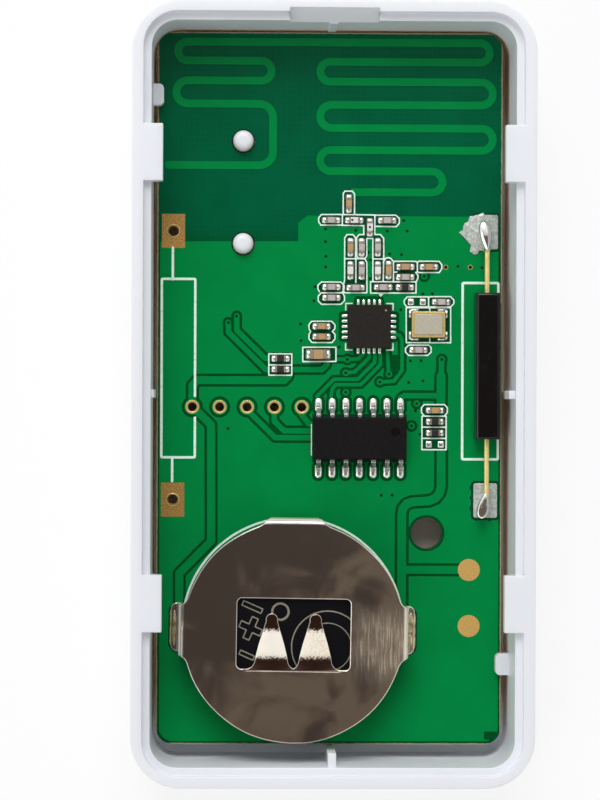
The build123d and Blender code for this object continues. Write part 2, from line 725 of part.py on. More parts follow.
def radio_body():
    """The flat square radio chip."""
    body = slab(RADIO_W, RADIO_W, RADIO_H - RADIO_PAD_T, RADIO_PAD_T)
    return [on_board(Pos(*ANCHORS[RADIO], 0) * body)]


def radio_pads():
    """Tinned pads that show round the radio chip's four sides."""
    centre = RADIO_W / 2 + RADIO_PAD_OUT - RADIO_PAD_L / 2
    pad = slab(RADIO_PAD_W, RADIO_PAD_L, RADIO_PAD_T)
    pads = []
    for quarter in range(4):
        for index in range(RADIO_PINS):
            along = (index - (RADIO_PINS - 1) / 2) * RADIO_PITCH
            spot = Pos(*ANCHORS[RADIO], 0) * Rot(0, 0, 90 * quarter) * Pos(along, centre, 0)
            pads.append(on_board(spot * pad))
    return pads


def radio_paddle():
    """The heat pad under the radio chip."""
    paddle = slab(RADIO_PADDLE_W, RADIO_PADDLE_W, RADIO_PAD_T)
    return [on_board(Pos(*ANCHORS[RADIO], 0) * paddle)]


def crystal_at(shape):
    """Move a piece from the crystal's middle to its place on the board."""
    radio_x, radio_y = ANCHORS[RADIO]
    return on_board(Pos(radio_x + CRYSTAL_DX, radio_y + CRYSTAL_DY, 0) * shape)


def crystal_layer(inset, height, z):
    """One layer of the crystal's package."""
    block = slab(CRYSTAL_L - 2 * inset, CRYSTAL_W - 2 * inset, height, z)
    return [crystal_at(block)]


def crystal_pads():
    """Four tinned pads at the crystal's corners."""
    reach_x = CRYSTAL_L / 2 + CRYSTAL_PAD_OUT - CRYSTAL_PAD_L / 2
    reach_y = CRYSTAL_W / 2 + CRYSTAL_PAD_OUT - CRYSTAL_PAD_W / 2
    spots = GridLocations(2 * reach_x, 2 * reach_y, 2, 2)
    pad = slab(CRYSTAL_PAD_L, CRYSTAL_PAD_W, COPPER_T)
    return [crystal_at(spot * pad) for spot in spots]


def chip_place(beside, dx, dy, angle):
    """The place and turn of one small chip."""
    x, y = ANCHORS[beside]
    return Pos(x + dx, y + dy, COPPER_T) * Rot(0, 0, angle)


def chip_bodies(places, length=CHIP_L, width=CHIP_W, height=CHIP_H, cap=CHIP_CAP_L):
    """The ceramic middles of small chips, lifted by their end caps' skin."""
    body = slab(length - 2 * cap, width, height, CAP_SKIN)
    return [on_board(chip_place(*place) * body) for place in places]


def end_caps(places, length=CHIP_L, width=CHIP_W, height=CHIP_H, cap=CHIP_CAP_L):
    """The metal ends of small chips."""
    block = slab(cap, width + 2 * CAP_SKIN, height + 2 * CAP_SKIN)
    offset = (length - cap) / 2
    return [
        on_board(chip_place(*place) * Pos(way * offset, 0, 0) * block)
        for place in places for way in (-1, 1)
    ]


def chip_solder(places, length=CHIP_L, width=CHIP_W, height=CHIP_SOLDER_H, cap=CHIP_CAP_L):
    """A tinned pad under each end cap, with a wedge of solder against it."""
    pad_l = cap + CHIP_PAD_OUT
    pad = Pos(length / 2 - cap + pad_l / 2, 0, -COPPER_T)
    pad = pad * slab(pad_l, width + 2 * CHIP_PAD_SIDE, COPPER_T)
    wedge = Rot(0, 0, -90) * side_profile(((0, 0), (CHIP_PAD_OUT, 0), (0, height)), width)
    mound = pad + Pos(length / 2, 0, 0) * wedge
    return [
        on_board(chip_place(*place) * Rot(0, 0, angle) * mound)
        for place in places for angle in (0, 180)
    ]


def empty_pads():
    """Tinned pads where no chip is fitted."""
    pad = slab(EMPTY_PAD_L, EMPTY_PAD_W, COPPER_T, -COPPER_T)
    return [
        on_board(chip_place(*place) * Pos(way * EMPTY_PAD_PITCH / 2, 0, 0) * pad)
        for place in EMPTY_PADS for way in (-1, 1)
    ]


def cell_parts():
    """The coin cell: can with the plus face up, gasket, and minus cap with its filling."""
    step = CELL_BOTTOM + CELL_STEP
    can = disc(CELL_R, CELL_TOP - step, step)
    can = fillet(can.faces().sort_by(Axis.Z)[-1].edges(), CAN_EDGE_R)
    can -= disc(CELL_R - CAN_T, CELL_TOP - CAN_T - step, step)
    inner_top = CELL_TOP - CAN_T - GASKET_FIT
    cap = disc(CAP_R, inner_top - CELL_BOTTOM, CELL_BOTTOM)
    gasket = disc(CELL_R - CAN_T - GASKET_FIT, inner_top - step, step)
    gasket -= Cylinder(CAP_R + GASKET_FIT, 6 * CELL_H)
    return [[on_board(Pos(*CELL, 0) * shape)] for shape in (can, gasket, cap)]


def clip_outline():
    """The plate: a disc with two ears, cut square at the stop, with its window."""
    ears = Rectangle(2 * (LEG_X + CLIP_T), CLIP_EAR_W)
    stop_y = CELL_R + CLIP_STOP_GAP
    stop = Pos(0, stop_y / 2) * Rectangle(CLIP_STOP_W, stop_y + 2 * CLIP_T)
    middle_y = (WINDOW_TOP + WINDOW_BOTTOM) / 2
    window = RectangleRounded(WINDOW_W, WINDOW_TOP - WINDOW_BOTTOM, WINDOW_CORNER_R)
    return Circle(CELL_R + CLIP_PLATE_LAP) + ears + stop - Pos(0, middle_y) * window


def clip_finger(side):
    """A tapered spring finger that dips to the cell and turns up at its tip."""
    touch_z = CELL_TOP + FINGER_GAP
    root_y = WINDOW_BOTTOM - CLIP_T
    knee_y = WINDOW_BOTTOM + CLIP_T
    lower = (
        (root_y, PLATE_UNDER), (knee_y, PLATE_UNDER), (FINGER_TOUCH_Y, touch_z),
        (FINGER_TIP_Y, touch_z + FINGER_TIP_LIFT),
    )
    upper = [(y, z + CLIP_T) for y, z in reversed(lower)]
    bar = side_profile((*lower, *upper), 2 * FINGER_BASE_W)
    tip_r = FINGER_TIP_W / 2
    corner_y = FINGER_TIP_Y - tip_r
    outline = make_face(Polyline(
        (-FINGER_BASE_W / 2, root_y), (FINGER_BASE_W / 2, root_y), (FINGER_BASE_W / 2, knee_y),
        (tip_r, corner_y), (-tip_r, corner_y), (-FINGER_BASE_W / 2, knee_y), close=True,
    )) + Pos(0, corner_y) * Circle(tip_r)
    return Pos(side * FINGER_X, 0, 0) * (bar & extrude(outline, PLATE_UNDER + 2 * CLIP_T))


def clip_leg(side):
    """A leg from an ear down to its foot on the board."""
    top = PLATE_UNDER + CLIP_T
    leg = slab(CLIP_T, CLIP_EAR_W, top - COPPER_T, COPPER_T)
    return Pos(side * (LEG_X + CLIP_T / 2), 0, 0) * leg


def clip_foot(side, margin=0, thickness=CLIP_T, z=COPPER_T):
    """A foot, or the wider solder or pad under it, rounded at its outer end."""
    length = CLIP_T + CLIP_FOOT_L + margin
    width = CLIP_EAR_W + 2 * margin
    whole = slab(2 * length, width, thickness, z, CLIP_FOOT_CORNER_R + margin)
    inner = Pos(-length / 2, 0, 0) * slab(length, width, thickness, z)
    return Pos(side * LEG_X, 0, 0) * Rot(0, 0, 0 if side > 0 else 180) * (whole - inner)


def clip_at(shape):
    """Move a piece from the clip's middle to its place on the board."""
    return on_board(Pos(*CELL, 0) * Rot(0, 0, CLIP_TURN) * shape)


def battery_clip():
    """Plate, fingers, stop, legs and feet stamped from one sheet."""
    clip = Pos(0, 0, PLATE_UNDER) * extrude(clip_outline(), CLIP_T)
    stop_y = CELL_R + CLIP_STOP_GAP + CLIP_T / 2
    stop_z = PLATE_UNDER - CLIP_STOP_DEPTH
    clip += Pos(0, stop_y, 0) * slab(CLIP_STOP_W, CLIP_T, CLIP_STOP_DEPTH + CLIP_T, stop_z)
    for side in (-1, 1):
        clip += clip_finger(side)
        clip += clip_leg(side)
        clip += clip_foot(side)
    return [clip_at(clip)]


def clip_solder():
    """A bed of solder round each foot."""
    beds = []
    for side in (-1, 1):
        bed = clip_foot(side, CLIP_SOLDER_MARGIN, CLIP_SOLDER_T)
        beds.append(clip_at(bed - clip_foot(side) - clip_leg(side)))
    return beds


def clip_pads():
    """The copper pads under the clip's feet."""
    return [clip_at(clip_foot(side, CLIP_PAD_MARGIN, COPPER_T, 0)) for side in (-1, 1)]


def main():
    """Make every piece and write it under its node's name."""
    os.makedirs("parts", exist_ok=True)
    fixed_blade, moving_blade, moving_lead = reed_blades()
    lamp_base, lamp_lens = status_led()
    can, gasket, cap = cell_parts()
    large_size = (LARGE_L, LARGE_W, LARGE_H, LARGE_CAP_L)
    large_joint = (LARGE_L, LARGE_W, LARGE_SOLDER_H, LARGE_CAP_L)
    ring_z = COPPER_T + CRYSTAL_BASE_H
    nodes = {
        "front_housing": front_housing(),
        "light_window": light_window(),
        "circuit_board": circuit_board(),
        "antenna_trace": antenna_trace(),
        "header_eyelets": header_eyelets(),
        "spare_reed_pads": reed_pads(-1),
        "reed_pads": reed_pads(1),
        "test_pads": test_pads(),
        "battery_minus_pad": minus_pad(),
        "reed_switch_body": reed_body(),
        "reed_glass": reed_glass(),
        "reed_fixed_blade": fixed_blade,
        "reed_moving_blade": moving_blade,
        "reed_moving_lead": moving_lead,
        "reed_solder": reed_solder(),
        "controller_body": controller_body(),
        "controller_leads": controller_leads(),
        "controller_pads": controller_pads(),
        "radio_body": radio_body(),
        "radio_pads": radio_pads(),
        "radio_paddle": radio_paddle(),
        "crystal_base": crystal_layer(0, CRYSTAL_BASE_H, COPPER_T),
        "crystal_ring": crystal_layer(CRYSTAL_RING_INSET, CRYSTAL_RING_T, ring_z),
        "crystal_lid": crystal_layer(CRYSTAL_LID_INSET, CRYSTAL_LID_T, ring_z + CRYSTAL_RING_T),
        "crystal_pads": crystal_pads(),
        "tan_capacitors": chip_bodies(TAN_CAPACITORS),
        "grey_capacitors": chip_bodies(GREY_CAPACITORS),
        "chip_inductors": chip_bodies(CHIP_INDUCTORS),
        "chip_resistors": chip_bodies(CHIP_RESISTORS),
        "chip_end_caps": end_caps(SMALL_CHIPS),
        "chip_solder": chip_solder(SMALL_CHIPS),
        "large_capacitor": chip_bodies(LARGE_CAPACITOR, *large_size),
        "large_end_caps": end_caps(LARGE_CAPACITOR, *large_size),
        "large_solder": chip_solder(LARGE_CAPACITOR, *large_joint),
        "empty_pads": empty_pads(),
        "battery_clip": battery_clip(),
        "clip_solder": clip_solder(),
        "clip_pads": clip_pads(),
        "cell_can": can,
        "cell_gasket": gasket,
        "cell_cap": cap,
        "status_led_base": lamp_base,
        "status_led_lens": lamp_lens,
    }
    for name, shapes in nodes.items():
        save(name, shapes)


main()
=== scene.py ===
"""The opened door and window sensor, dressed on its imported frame."""
import math
from contextlib import contextmanager

import bmesh
import bpy
import numpy as np
from mathutils import Matrix, Vector


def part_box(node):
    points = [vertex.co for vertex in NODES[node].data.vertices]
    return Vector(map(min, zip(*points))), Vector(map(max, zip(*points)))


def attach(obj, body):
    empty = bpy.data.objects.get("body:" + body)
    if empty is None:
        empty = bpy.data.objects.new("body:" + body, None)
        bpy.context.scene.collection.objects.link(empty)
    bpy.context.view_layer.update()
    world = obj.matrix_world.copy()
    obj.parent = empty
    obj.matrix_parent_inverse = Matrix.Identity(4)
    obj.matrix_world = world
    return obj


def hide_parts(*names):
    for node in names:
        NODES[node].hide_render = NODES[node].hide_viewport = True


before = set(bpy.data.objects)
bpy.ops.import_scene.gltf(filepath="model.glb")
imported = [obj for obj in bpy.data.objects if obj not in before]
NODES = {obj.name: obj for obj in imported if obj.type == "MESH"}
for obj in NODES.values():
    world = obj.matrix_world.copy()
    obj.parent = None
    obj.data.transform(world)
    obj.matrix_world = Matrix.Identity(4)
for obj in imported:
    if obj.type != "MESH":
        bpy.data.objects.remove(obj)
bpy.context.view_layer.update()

bl_info = {
    "name": "Door and window sensor",
    "version": (1, 0, 0),
    "blender": (4, 5, 0),
    "location": "View3D > Sidebar > Sensor",
    "description": "Dresses the opened door and window sensor and its stage",
    "category": "Object",
}

MM = 0.001
# The tray's floor, the board's top and half sizes and the cell's top and radius, in millimetres; a
# place on the board is counted from the middle of its top
TRAY_FLOOR = 0.8
LOW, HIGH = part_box("circuit_board")
BOARD = Vector(((LOW.x + HIGH.x) / 2, (LOW.y + HIGH.y) / 2, HIGH.z)) / MM
HALF_W = (HIGH.x - LOW.x) / 2 / MM
HALF_L = (HIGH.y - LOW.y) / 2 / MM
LOW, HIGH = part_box("cell_can")
CELL = Vector(((LOW.x + HIGH.x) / 2, (LOW.y + HIGH.y) / 2, HIGH.z)) / MM - BOARD
CELL_R = (HIGH.x - LOW.x) / 2 / MM
# Grid steps of the artwork in mm, and a distance that is past everything
BOARD_STEP = 0.06
DETAIL_STEP = 0.05
FAR = 5.0


def linear(code):
    """An sRGB hex colour as linear red, green and blue."""
    parts = [int(code[start:start + 2], 16) / 255 for start in (1, 3, 5)]
    return tuple(p / 12.92 if p <= 0.04045 else ((p + 0.055) / 1.055) ** 2.4 for p in parts)


def size(name, description, millimetres):
    """A length that the panel can change, given in millimetres."""
    return bpy.props.FloatProperty(
        name=name, description=description, default=millimetres * MM, min=0.0, precision=5,
        unit="LENGTH",
    )


def colour(name, description, code):
    """A colour that the panel can change, given as an sRGB hex value."""
    return bpy.props.FloatVectorProperty(
        name=name, description=description, default=linear(code), min=0.0, max=1.0,
        subtype="COLOR",
    )


# Sizes and colours

class HousingLook(bpy.types.PropertyGroup):
    plastic: colour("Plastic", "White moulding", "#E6E8EE")
    # Painted shade: a warm colour for the inner walls below the board's top, standing for light bounced
    # off the board, and a cool lit colour for the near end wall, which faces the key lamp
    painted_shade: colour("Deep wall", "Inner walls below the board, where little light comes", "#EFE2D4")
    painted_lit_wall: colour("Cool shade", "Inner walls at the near end", "#F0F5FF")
    edge: size("Edge rounding", "Radius on the moulding's edges", 0.14)
    lens: colour("Light window", "Clear acrylic", "#EDF2F2")


class BoardLook(bpy.types.PropertyGroup):
    bare: colour("Resist on laminate", "Green resist where there is no copper", "#005A3A")
    covered: colour("Resist on copper", "Green resist over copper", "#008540")
    edge: colour("Laminate", "Cut edge of the glass epoxy", "#A9A283")
    hole: colour("Via", "Inside of a covered via", "#00200C")
    # Painted shadow as well as set flux: the dark film round the chips, the controller, the reed pads and
    # the clip's feet
    flux: colour("Flux film", "Thin dark film left round soldered parts", "#01301D")
    relief: size("Copper relief", "Height of copper and resist above the laminate", 0.045)
    shade: colour("Gaps", "Resist over the gaps between the copper areas", "#00481F")
    gap: size("Isolation gap", "Width of the gap round each track", 0.24)
    track: size("Track width", "Width of the wide tracks", 0.74)
    fine: size("Fine track width", "Width of the radio's tracks", 0.34)
    ink: colour("Ink", "Printed outlines", "#E2F6EA")
    line: size("Outline width", "Width of the outlines round small chips", 0.125)
    broad: size("Broad outline width", "Width of the outlines round the reed switches", 0.23)


class MetalLook(bpy.types.PropertyGroup):
    solder: colour("Solder", "Reflowed tin solder", "#F1F0EB")
    dull: colour("Dull solder", "Hand solder with a frosted skin", "#C6CCC5")
    stained: colour("Stained solder", "Solder under amber flux", "#E2D3A8")
    cap: colour("End cap", "Matt plating on the ends of small chips", "#A3977F")
    gold: colour("Pad gold", "Thin gold over nickel on copper", "#B98F50")
    # Painted light: a paler gold for the test pads, which catch more light
    probe: colour("Test pad gold", "Clean gold on the test pads", "#DDB266")
    wire: colour("Lead gold", "Gold plated reed leads", "#FFE694")
    tin: colour("Tinned lead", "Matt tin on chip leads", "#CFCDCB")


class ChipLook(bpy.types.PropertyGroup):
    mould: colour("Epoxy", "Black moulding compound", "#0A0808")
    blasted: colour("Pale epoxy", "Moulding compound that a blasted mould left paler", "#1F1C19")
    reed: colour("Reed moulding", "Smooth black moulding", "#080607")
    glass: colour("Reed glass", "Clear glass with a green tinge", "#DDF0E4")
    tan: colour("Tan ceramic", "Capacitor ceramic", "#BC9050")
    grey: colour("Grey ceramic", "Capacitor ceramic", "#BBB3B0")
    white: colour("White ceramic", "Inductor ceramic", "#E8E5E2")
    # Partly painted shade: the base is dark brown so that its rim outside the gold ring reads as shade
    base: colour("Crystal base", "Dark ceramic under the gold ring", "#6A5128")
    glaze: colour("Resistor glaze", "Black glaze", "#080708")
    lid: colour("Crystal lid", "Bead blasted lid", "#C6C0AE")
    ring: colour("Crystal ring", "Gold plated seal ring", "#E8CB86")


class ClipLook(bpy.types.PropertyGroup):
    nickel: colour("Nickel", "Nickel plated spring steel", "#D6CABB")
    worn: colour("Brushed nickel", "Where the plating is scratched along the strip", "#E6CFAE")
    # Painted highlight: the colour of the clip's edges, bends and finger middles where they catch the
    # light
    bright: colour("Bright edges", "Edges and bends where the plating is polished", "#F6EFE2")
    # Painted shade: a near black colour for the cell's steel, which lies in the clip's shadow
    steel: colour("Cell steel", "Top of the coin cell", "#1D1E24")
    # Painted highlight: a pale colour for the stamped lines on the cell
    mark: colour("Cell marks", "Stamped lines on the cell", "#B9B2A0")
    gasket: colour("Gasket", "Cell gasket", "#3C3D40")


class StageLook(bpy.types.PropertyGroup):
    floor: colour("Floor", "Pale floor", "#F4F4F5")
    ceiling: colour("Ceiling", "Dim ceiling that level metal mirrors", "#655A51")
    key: bpy.props.FloatProperty(
        name="Key lamp", description="Large soft lamp beyond the antenna end", default=4.6, min=0.0,
        unit="POWER",
    )
    side: bpy.props.FloatProperty(
        name="Side lamp", description="Weaker soft lamp on the left", default=1.3, min=0.0,
        unit="POWER",
    )
    ambient: bpy.props.FloatProperty(
        name="Ambient", description="Light from all round", default=0.5, min=0.0,
    )


# Nodes and materials

def add(tree, kind, inputs=(), **settings):
    """Add one node with its settings, and set or link its inputs."""
    made = tree.nodes.new("ShaderNode" + kind)
    for key, value in settings.items():
        setattr(made, key, value)
    fill(tree, made, dict(inputs))
    return made.outputs


def fill(tree, node, inputs):
    """Link inputs of a node to outputs of others, or set them; a colour needs no alpha."""
    for socket, value in inputs.items():
        target = node.inputs[socket]
        if isinstance(value, bpy.types.NodeSocket):
            tree.links.new(value, target)
        else:
            target.default_value = (*value, 1) if target.type == "RGBA" else value


def new_surface(name):
    """An empty material, its tree and shader, and the place on the object in millimetres."""
    surface = bpy.data.materials.new(name)
    surface.use_nodes = True
    tree = surface.node_tree
    place = add(tree, "TexCoord")
    scaled = add(tree, "VectorMath", {0: place["Object"], "Scale": 1 / MM}, operation="SCALE")
    return surface, tree, tree.nodes["Principled BSDF"], scaled[0]


def moulded_abs(look):
    """ABS from a polished mould: an even white with a soft sheen and the faintest ripple, and painted
    shade on the inner walls below the board.
    """
    surface, tree, shader, place = new_surface("moulded_abs")
    x, y, z = add(tree, "SeparateXYZ", {0: place})
    across, along = (add(tree, "Math", {0: way}, operation="ABSOLUTE")[0] for way in (x, y))
    total = add(tree, "Math", {0: across, 1: along}, operation="ADD")[0]
    # Painted shade: the inner walls inside the rim, above the floor and below the board's top, take a
    # warm shade colour
    painted_shade = add(tree, "Math", {0: z, 1: TRAY_FLOOR}, operation="GREATER_THAN")
    for way, limit in (
        (across, HALF_W + 1.0), (along, HALF_L + 1.4), (total, HALF_W + HALF_L + 1.8),
    ):
        inside = add(tree, "Math", {0: way, 1: limit}, operation="LESS_THAN")
        painted_shade = add(tree, "Math", {0: painted_shade[0], 1: inside[0]}, operation="MULTIPLY")
    depth = add(tree, "MapRange", {
        0: z, 1: BOARD.z, 2: BOARD.z + 0.9, 3: 1.0, 4: 0.0,
    }, interpolation_type="SMOOTHSTEP")
    painted_shade = add(tree, "Math", {0: painted_shade[0], 1: depth[0]}, operation="MULTIPLY")
    # Painted light: the near end's wall, which faces the key lamp, takes a cooler, lighter colour
    near = add(tree, "MapRange", {
        0: y, 1: -HALF_L - 0.5, 2: -HALF_L + 6.0,
    }, interpolation_type="SMOOTHSTEP")
    dim = add(tree, "Mix", {0: near[0], 6: look.painted_lit_wall, 7: look.painted_shade}, data_type="RGBA")
    tint = add(tree, "Mix", {0: painted_shade[0], 6: look.plastic, 7: dim[2]}, data_type="RGBA")
    ripple = add(tree, "TexNoise", {"Vector": place, "Scale": 1 / 0.9, "Detail": 3})
    bump = add(tree, "Bump", {"Height": ripple[0], "Strength": 0.06, "Distance": 0.05 * MM})
    sheen = add(tree, "MapRange", {0: ripple[0], 3: 0.34, 4: 0.44})
    fill(tree, shader, {
        "Base Color": tint[2], "Roughness": sheen[0], "IOR": 1.53, "Normal": bump[0],
        "Subsurface Weight": 0.4, "Subsurface Scale": 0.002, "Subsurface Radius": (1.0, 0.95, 0.9),
    })
    return surface


def moulded_acrylic(look):
    """Clear acrylic, polished: nearly colourless with sharp highlights."""
    surface, tree, shader, place = new_surface("moulded_acrylic")
    haze = add(tree, "TexNoise", {"Vector": place, "Scale": 1 / 0.4})
    rough = add(tree, "MapRange", {0: haze[0], 3: 0.05, 4: 0.16})
    fill(tree, shader, {
        "Base Color": look.lens, "Roughness": rough[0], "IOR": 1.49, "Transmission Weight": 0.9,
    })
    return surface


def resist_grain(tree, place):
    """The glass cloth that shows faintly through the resist, and cloudy ink thickness."""
    cloud = add(tree, "TexNoise", {"Vector": place, "Scale": 1 / 3.0, "Detail": 4})
    fine = add(tree, "TexNoise", {"Vector": place, "Scale": 1 / 0.12, "Detail": 2})
    # The cloth's threads lie 0.5 mm apart
    warp, weft = (add(tree, "TexWave", {
        "Vector": place, "Scale": 1 / 0.5 / 3.18, "Distortion": 1.2, "Detail": 2, "Detail Scale": 2.0,
    }, bands_direction=way) for way in "XY")
    cloth = add(tree, "Math", {0: warp[1], 1: weft[1]}, operation="ADD")
    return cloud[0], fine[0], cloth[0]


def resist_on_laminate(look):
    """Green solder resist over bare glass epoxy: darker, a little blue, and glossy."""
    surface, tree, shader, place = new_surface("resist_on_laminate")
    cloud, fine, cloth = resist_grain(tree, place)
    shade = [c * 0.72 for c in look.bare]
    base = add(tree, "MapRange", {0: cloud, 1: 0.3, 2: 0.7, 3: 0.0, 4: 0.55})
    tint = add(tree, "Mix", {0: base[0], 6: look.bare, 7: shade}, data_type="RGBA")
    x, y, _ = add(tree, "SeparateXYZ", {0: place})
    # Below 12.5 mm up the board the bare resist takes the darker gap colour, fading to its own colour by
    # 16 mm in the open antenna area
    narrow = add(tree, "MapRange", {
        0: y, 1: 12.5, 2: 16.0, 3: 1.0, 4: 0.0,
    }, interpolation_type="SMOOTHSTEP")
    tint = add(tree, "Mix", {0: narrow[0], 6: tint[2], 7: look.shade}, data_type="RGBA")
    weave = add(tree, "MapRange", {0: cloth, 1: 0.0, 2: 2.0, 3: 0.0, 4: 0.08})
    tint = add(tree, "Mix", {0: weave[0], 6: tint[2], 7: look.covered}, data_type="RGBA")
    # The resist stops 0.12 mm short of the cut edge, and wanders a little
    past = []
    for way, middle, half in ((x, BOARD.x, HALF_W), (y, BOARD.y, HALF_L)):
        off = add(tree, "Math", {0: way, 1: middle}, operation="SUBTRACT")
        off = add(tree, "Math", {0: off[0]}, operation="ABSOLUTE")
        past.append(add(tree, "Math", {0: off[0], 1: half}, operation="SUBTRACT")[0])
    margin = add(tree, "Math", {0: past[0], 1: past[1]}, operation="MAXIMUM")
    wander = add(tree, "TexNoise", {"Vector": place, "Scale": 1 / 0.35, "Detail": 3})
    limit = add(tree, "MapRange", {0: wander[0], 3: -0.18, 4: -0.04})
    bare_rim = add(tree, "Math", {0: margin[0], 1: limit[0]}, operation="GREATER_THAN")
    fibre = add(tree, "TexNoise", {"Vector": place, "Scale": 1 / 0.15})
    dark = [c * 0.5 for c in look.edge]
    laminate = add(tree, "Mix", {0: fibre[0], 6: look.edge, 7: dark}, data_type="RGBA")
    tint = add(tree, "Mix", {0: bare_rim[0], 6: tint[2], 7: laminate[2]}, data_type="RGBA")
    bump = add(tree, "Bump", {"Height": cloth, "Strength": 0.1, "Distance": 0.01 * MM})
    bump = add(tree, "Bump", {
        "Height": fine, "Strength": 0.1, "Distance": 0.01 * MM, "Normal": bump[0],
    })
    rough = add(tree, "MapRange", {0: bare_rim[0], 3: 0.16, 4: 0.8})
    fill(tree, shader, {
        "Base Color": tint[2], "Roughness": rough[0], "IOR": 1.55, "Normal": bump[0],
        "Specular IOR Level": 0.07,
    })
    return surface


def resist_on_copper(look):
    """Green solder resist over copper: brighter, even, glossy, with a slight orange peel."""
    surface, tree, shader, place = new_surface("resist_on_copper")
    cloud, fine, _ = resist_grain(tree, place)
    shade = [c * 0.84 for c in look.covered]
    base = add(tree, "MapRange", {0: cloud, 1: 0.3, 2: 0.7, 3: 0.0, 4: 0.6})
    tint = add(tree, "Mix", {0: base[0], 6: look.covered, 7: shade}, data_type="RGBA")
    bump = add(tree, "Bump", {"Height": fine, "Strength": 0.12, "Distance": 0.012 * MM})
    rough = add(tree, "MapRange", {0: fine, 3: 0.14, 4: 0.22})
    fill(tree, shader, {
        "Base Color": tint[2], "Roughness": rough[0], "IOR": 1.55, "Normal": bump[0],
        "Specular IOR Level": 0.07,
    })
    return surface


def covered_hole(look):
    """Resist sunk into a via: almost black green."""
    surface, tree, shader, place = new_surface("resist_in_via")
    fine = add(tree, "TexNoise", {"Vector": place, "Scale": 1 / 0.1})
    light = [min(1.0, c * 2.2) for c in look.hole]
    tint = add(tree, "Mix", {0: fine[0], 6: look.hole, 7: light}, data_type="RGBA")
    fill(tree, shader, {
        "Base Color": tint[2], "Roughness": 0.5, "IOR": 1.55, "Specular IOR Level": 0.05,
    })
    return surface


def flux_film(look):
    """A thin, glossy dark film that darkens the board: set flux, and painted shadow round the parts."""
    surface, tree, shader, place = new_surface("flux_film")
    pool = add(tree, "TexNoise", {"Vector": place, "Scale": 1 / 0.5, "Detail": 3})
    light = [min(1.0, c * 2.5 + 0.004) for c in look.flux]
    tint = add(tree, "Mix", {0: pool[0], 6: look.flux, 7: light}, data_type="RGBA")
    rough = add(tree, "MapRange", {0: pool[0], 3: 0.12, 4: 0.3})
    fill(tree, shader, {
        "Base Color": tint[2], "Roughness": rough[0], "IOR": 1.5, "Specular IOR Level": 0.2,
    })
    return surface


def printed_ink(look):
    """Screen printed epoxy ink: matt white, thinner here and there, so some green shows."""
    surface, tree, shader, place = new_surface("printed_ink")
    worn = add(tree, "TexNoise", {"Vector": place, "Scale": 1 / 0.3, "Detail": 3})
    thin = add(tree, "MapRange", {0: worn[0], 1: 0.55, 2: 0.75, 3: 0.0, 4: 0.35})
    tint = add(tree, "Mix", {0: thin[0], 6: look.ink, 7: look.covered}, data_type="RGBA")
    fill(tree, shader, {"Base Color": tint[2], "Roughness": 0.6, "IOR": 1.5})
    return surface


def mottled_metal(name, base, patch, rough, grain, metallic, height):
    """A metal whose colour and gloss wander between two values over grains of one size in mm."""
    surface, tree, shader, place = new_surface(name)
    spots = add(tree, "TexNoise", {"Vector": place, "Scale": 1 / grain, "Detail": 4})
    mix = add(tree, "MapRange", {0: spots[0], 1: 0.35, 2: 0.65})
    tint = add(tree, "Mix", {0: mix[0], 6: base, 7: np.array(base) * patch}, data_type="RGBA")
    gloss = add(tree, "MapRange", {0: mix[0], 3: rough[0], 4: rough[1]})
    bump = add(tree, "Bump", {"Height": spots[0], "Strength": 0.35, "Distance": height * MM})
    fill(tree, shader, {
        "Base Color": tint[2], "Roughness": gloss[0], "Metallic": metallic, "Normal": bump[0],
    })
    return surface


def moulded_epoxy(name, base):
    """Filled epoxy from a blasted mould: charcoal, matt, with a fine sparkle of filler."""
    surface, tree, shader, place = new_surface(name)
    # Filler shows as specks of 0.08 mm
    specks = add(tree, "TexNoise", {"Vector": place, "Scale": 1 / 0.08, "Detail": 3})
    spark = add(tree, "MapRange", {0: specks[0], 1: 0.5, 2: 0.72})
    pale = [c * 2.4 + 0.004 for c in base]
    tint = add(tree, "Mix", {0: spark[0], 6: base, 7: pale}, data_type="RGBA")
    bump = add(tree, "Bump", {"Height": specks[0], "Strength": 0.5, "Distance": 0.015 * MM})
    fill(tree, shader, {
        "Base Color": tint[2], "Roughness": 0.55, "IOR": 1.55, "Normal": bump[0],
        "Specular IOR Level": 0.1,
    })
    return surface


def polished_epoxy(look):
    """Epoxy from a polished mould: near black and glossy, with hairline scratches."""
    surface, tree, shader, place = new_surface("polished_epoxy")
    stretched = add(tree, "Mapping", {
        "Vector": place, "Rotation": (0, 0, 0.5), "Scale": (1 / 0.06, 1 / 1.4, 1 / 0.5),
    })
    hair = add(tree, "TexNoise", {"Vector": stretched[0], "Scale": 1.0, "Detail": 5})
    swirl = add(tree, "TexNoise", {"Vector": place, "Scale": 1 / 0.7, "Detail": 4, "Distortion": 1.5})
    scratch = add(tree, "MapRange", {0: hair[0], 1: 0.62, 2: 0.8})
    film = add(tree, "MapRange", {0: swirl[0], 1: 0.6, 2: 0.85, 4: 0.5})
    marks = add(tree, "Math", {0: scratch[0], 1: film[0]}, operation="MAXIMUM")
    pale = [c * 2.0 + 0.008 for c in look.reed]
    tint = add(tree, "Mix", {0: marks[0], 6: look.reed, 7: pale}, data_type="RGBA")
    rough = add(tree, "MapRange", {0: marks[0], 3: 0.18, 4: 0.42})
    bump = add(tree, "Bump", {"Height": swirl[0], "Strength": 0.2, "Distance": 0.02 * MM})
    fill(tree, shader, {
        "Base Color": tint[2], "Roughness": rough[0], "IOR": 1.55, "Normal": bump[0],
        "Specular IOR Level": 0.35,
    })
    return surface


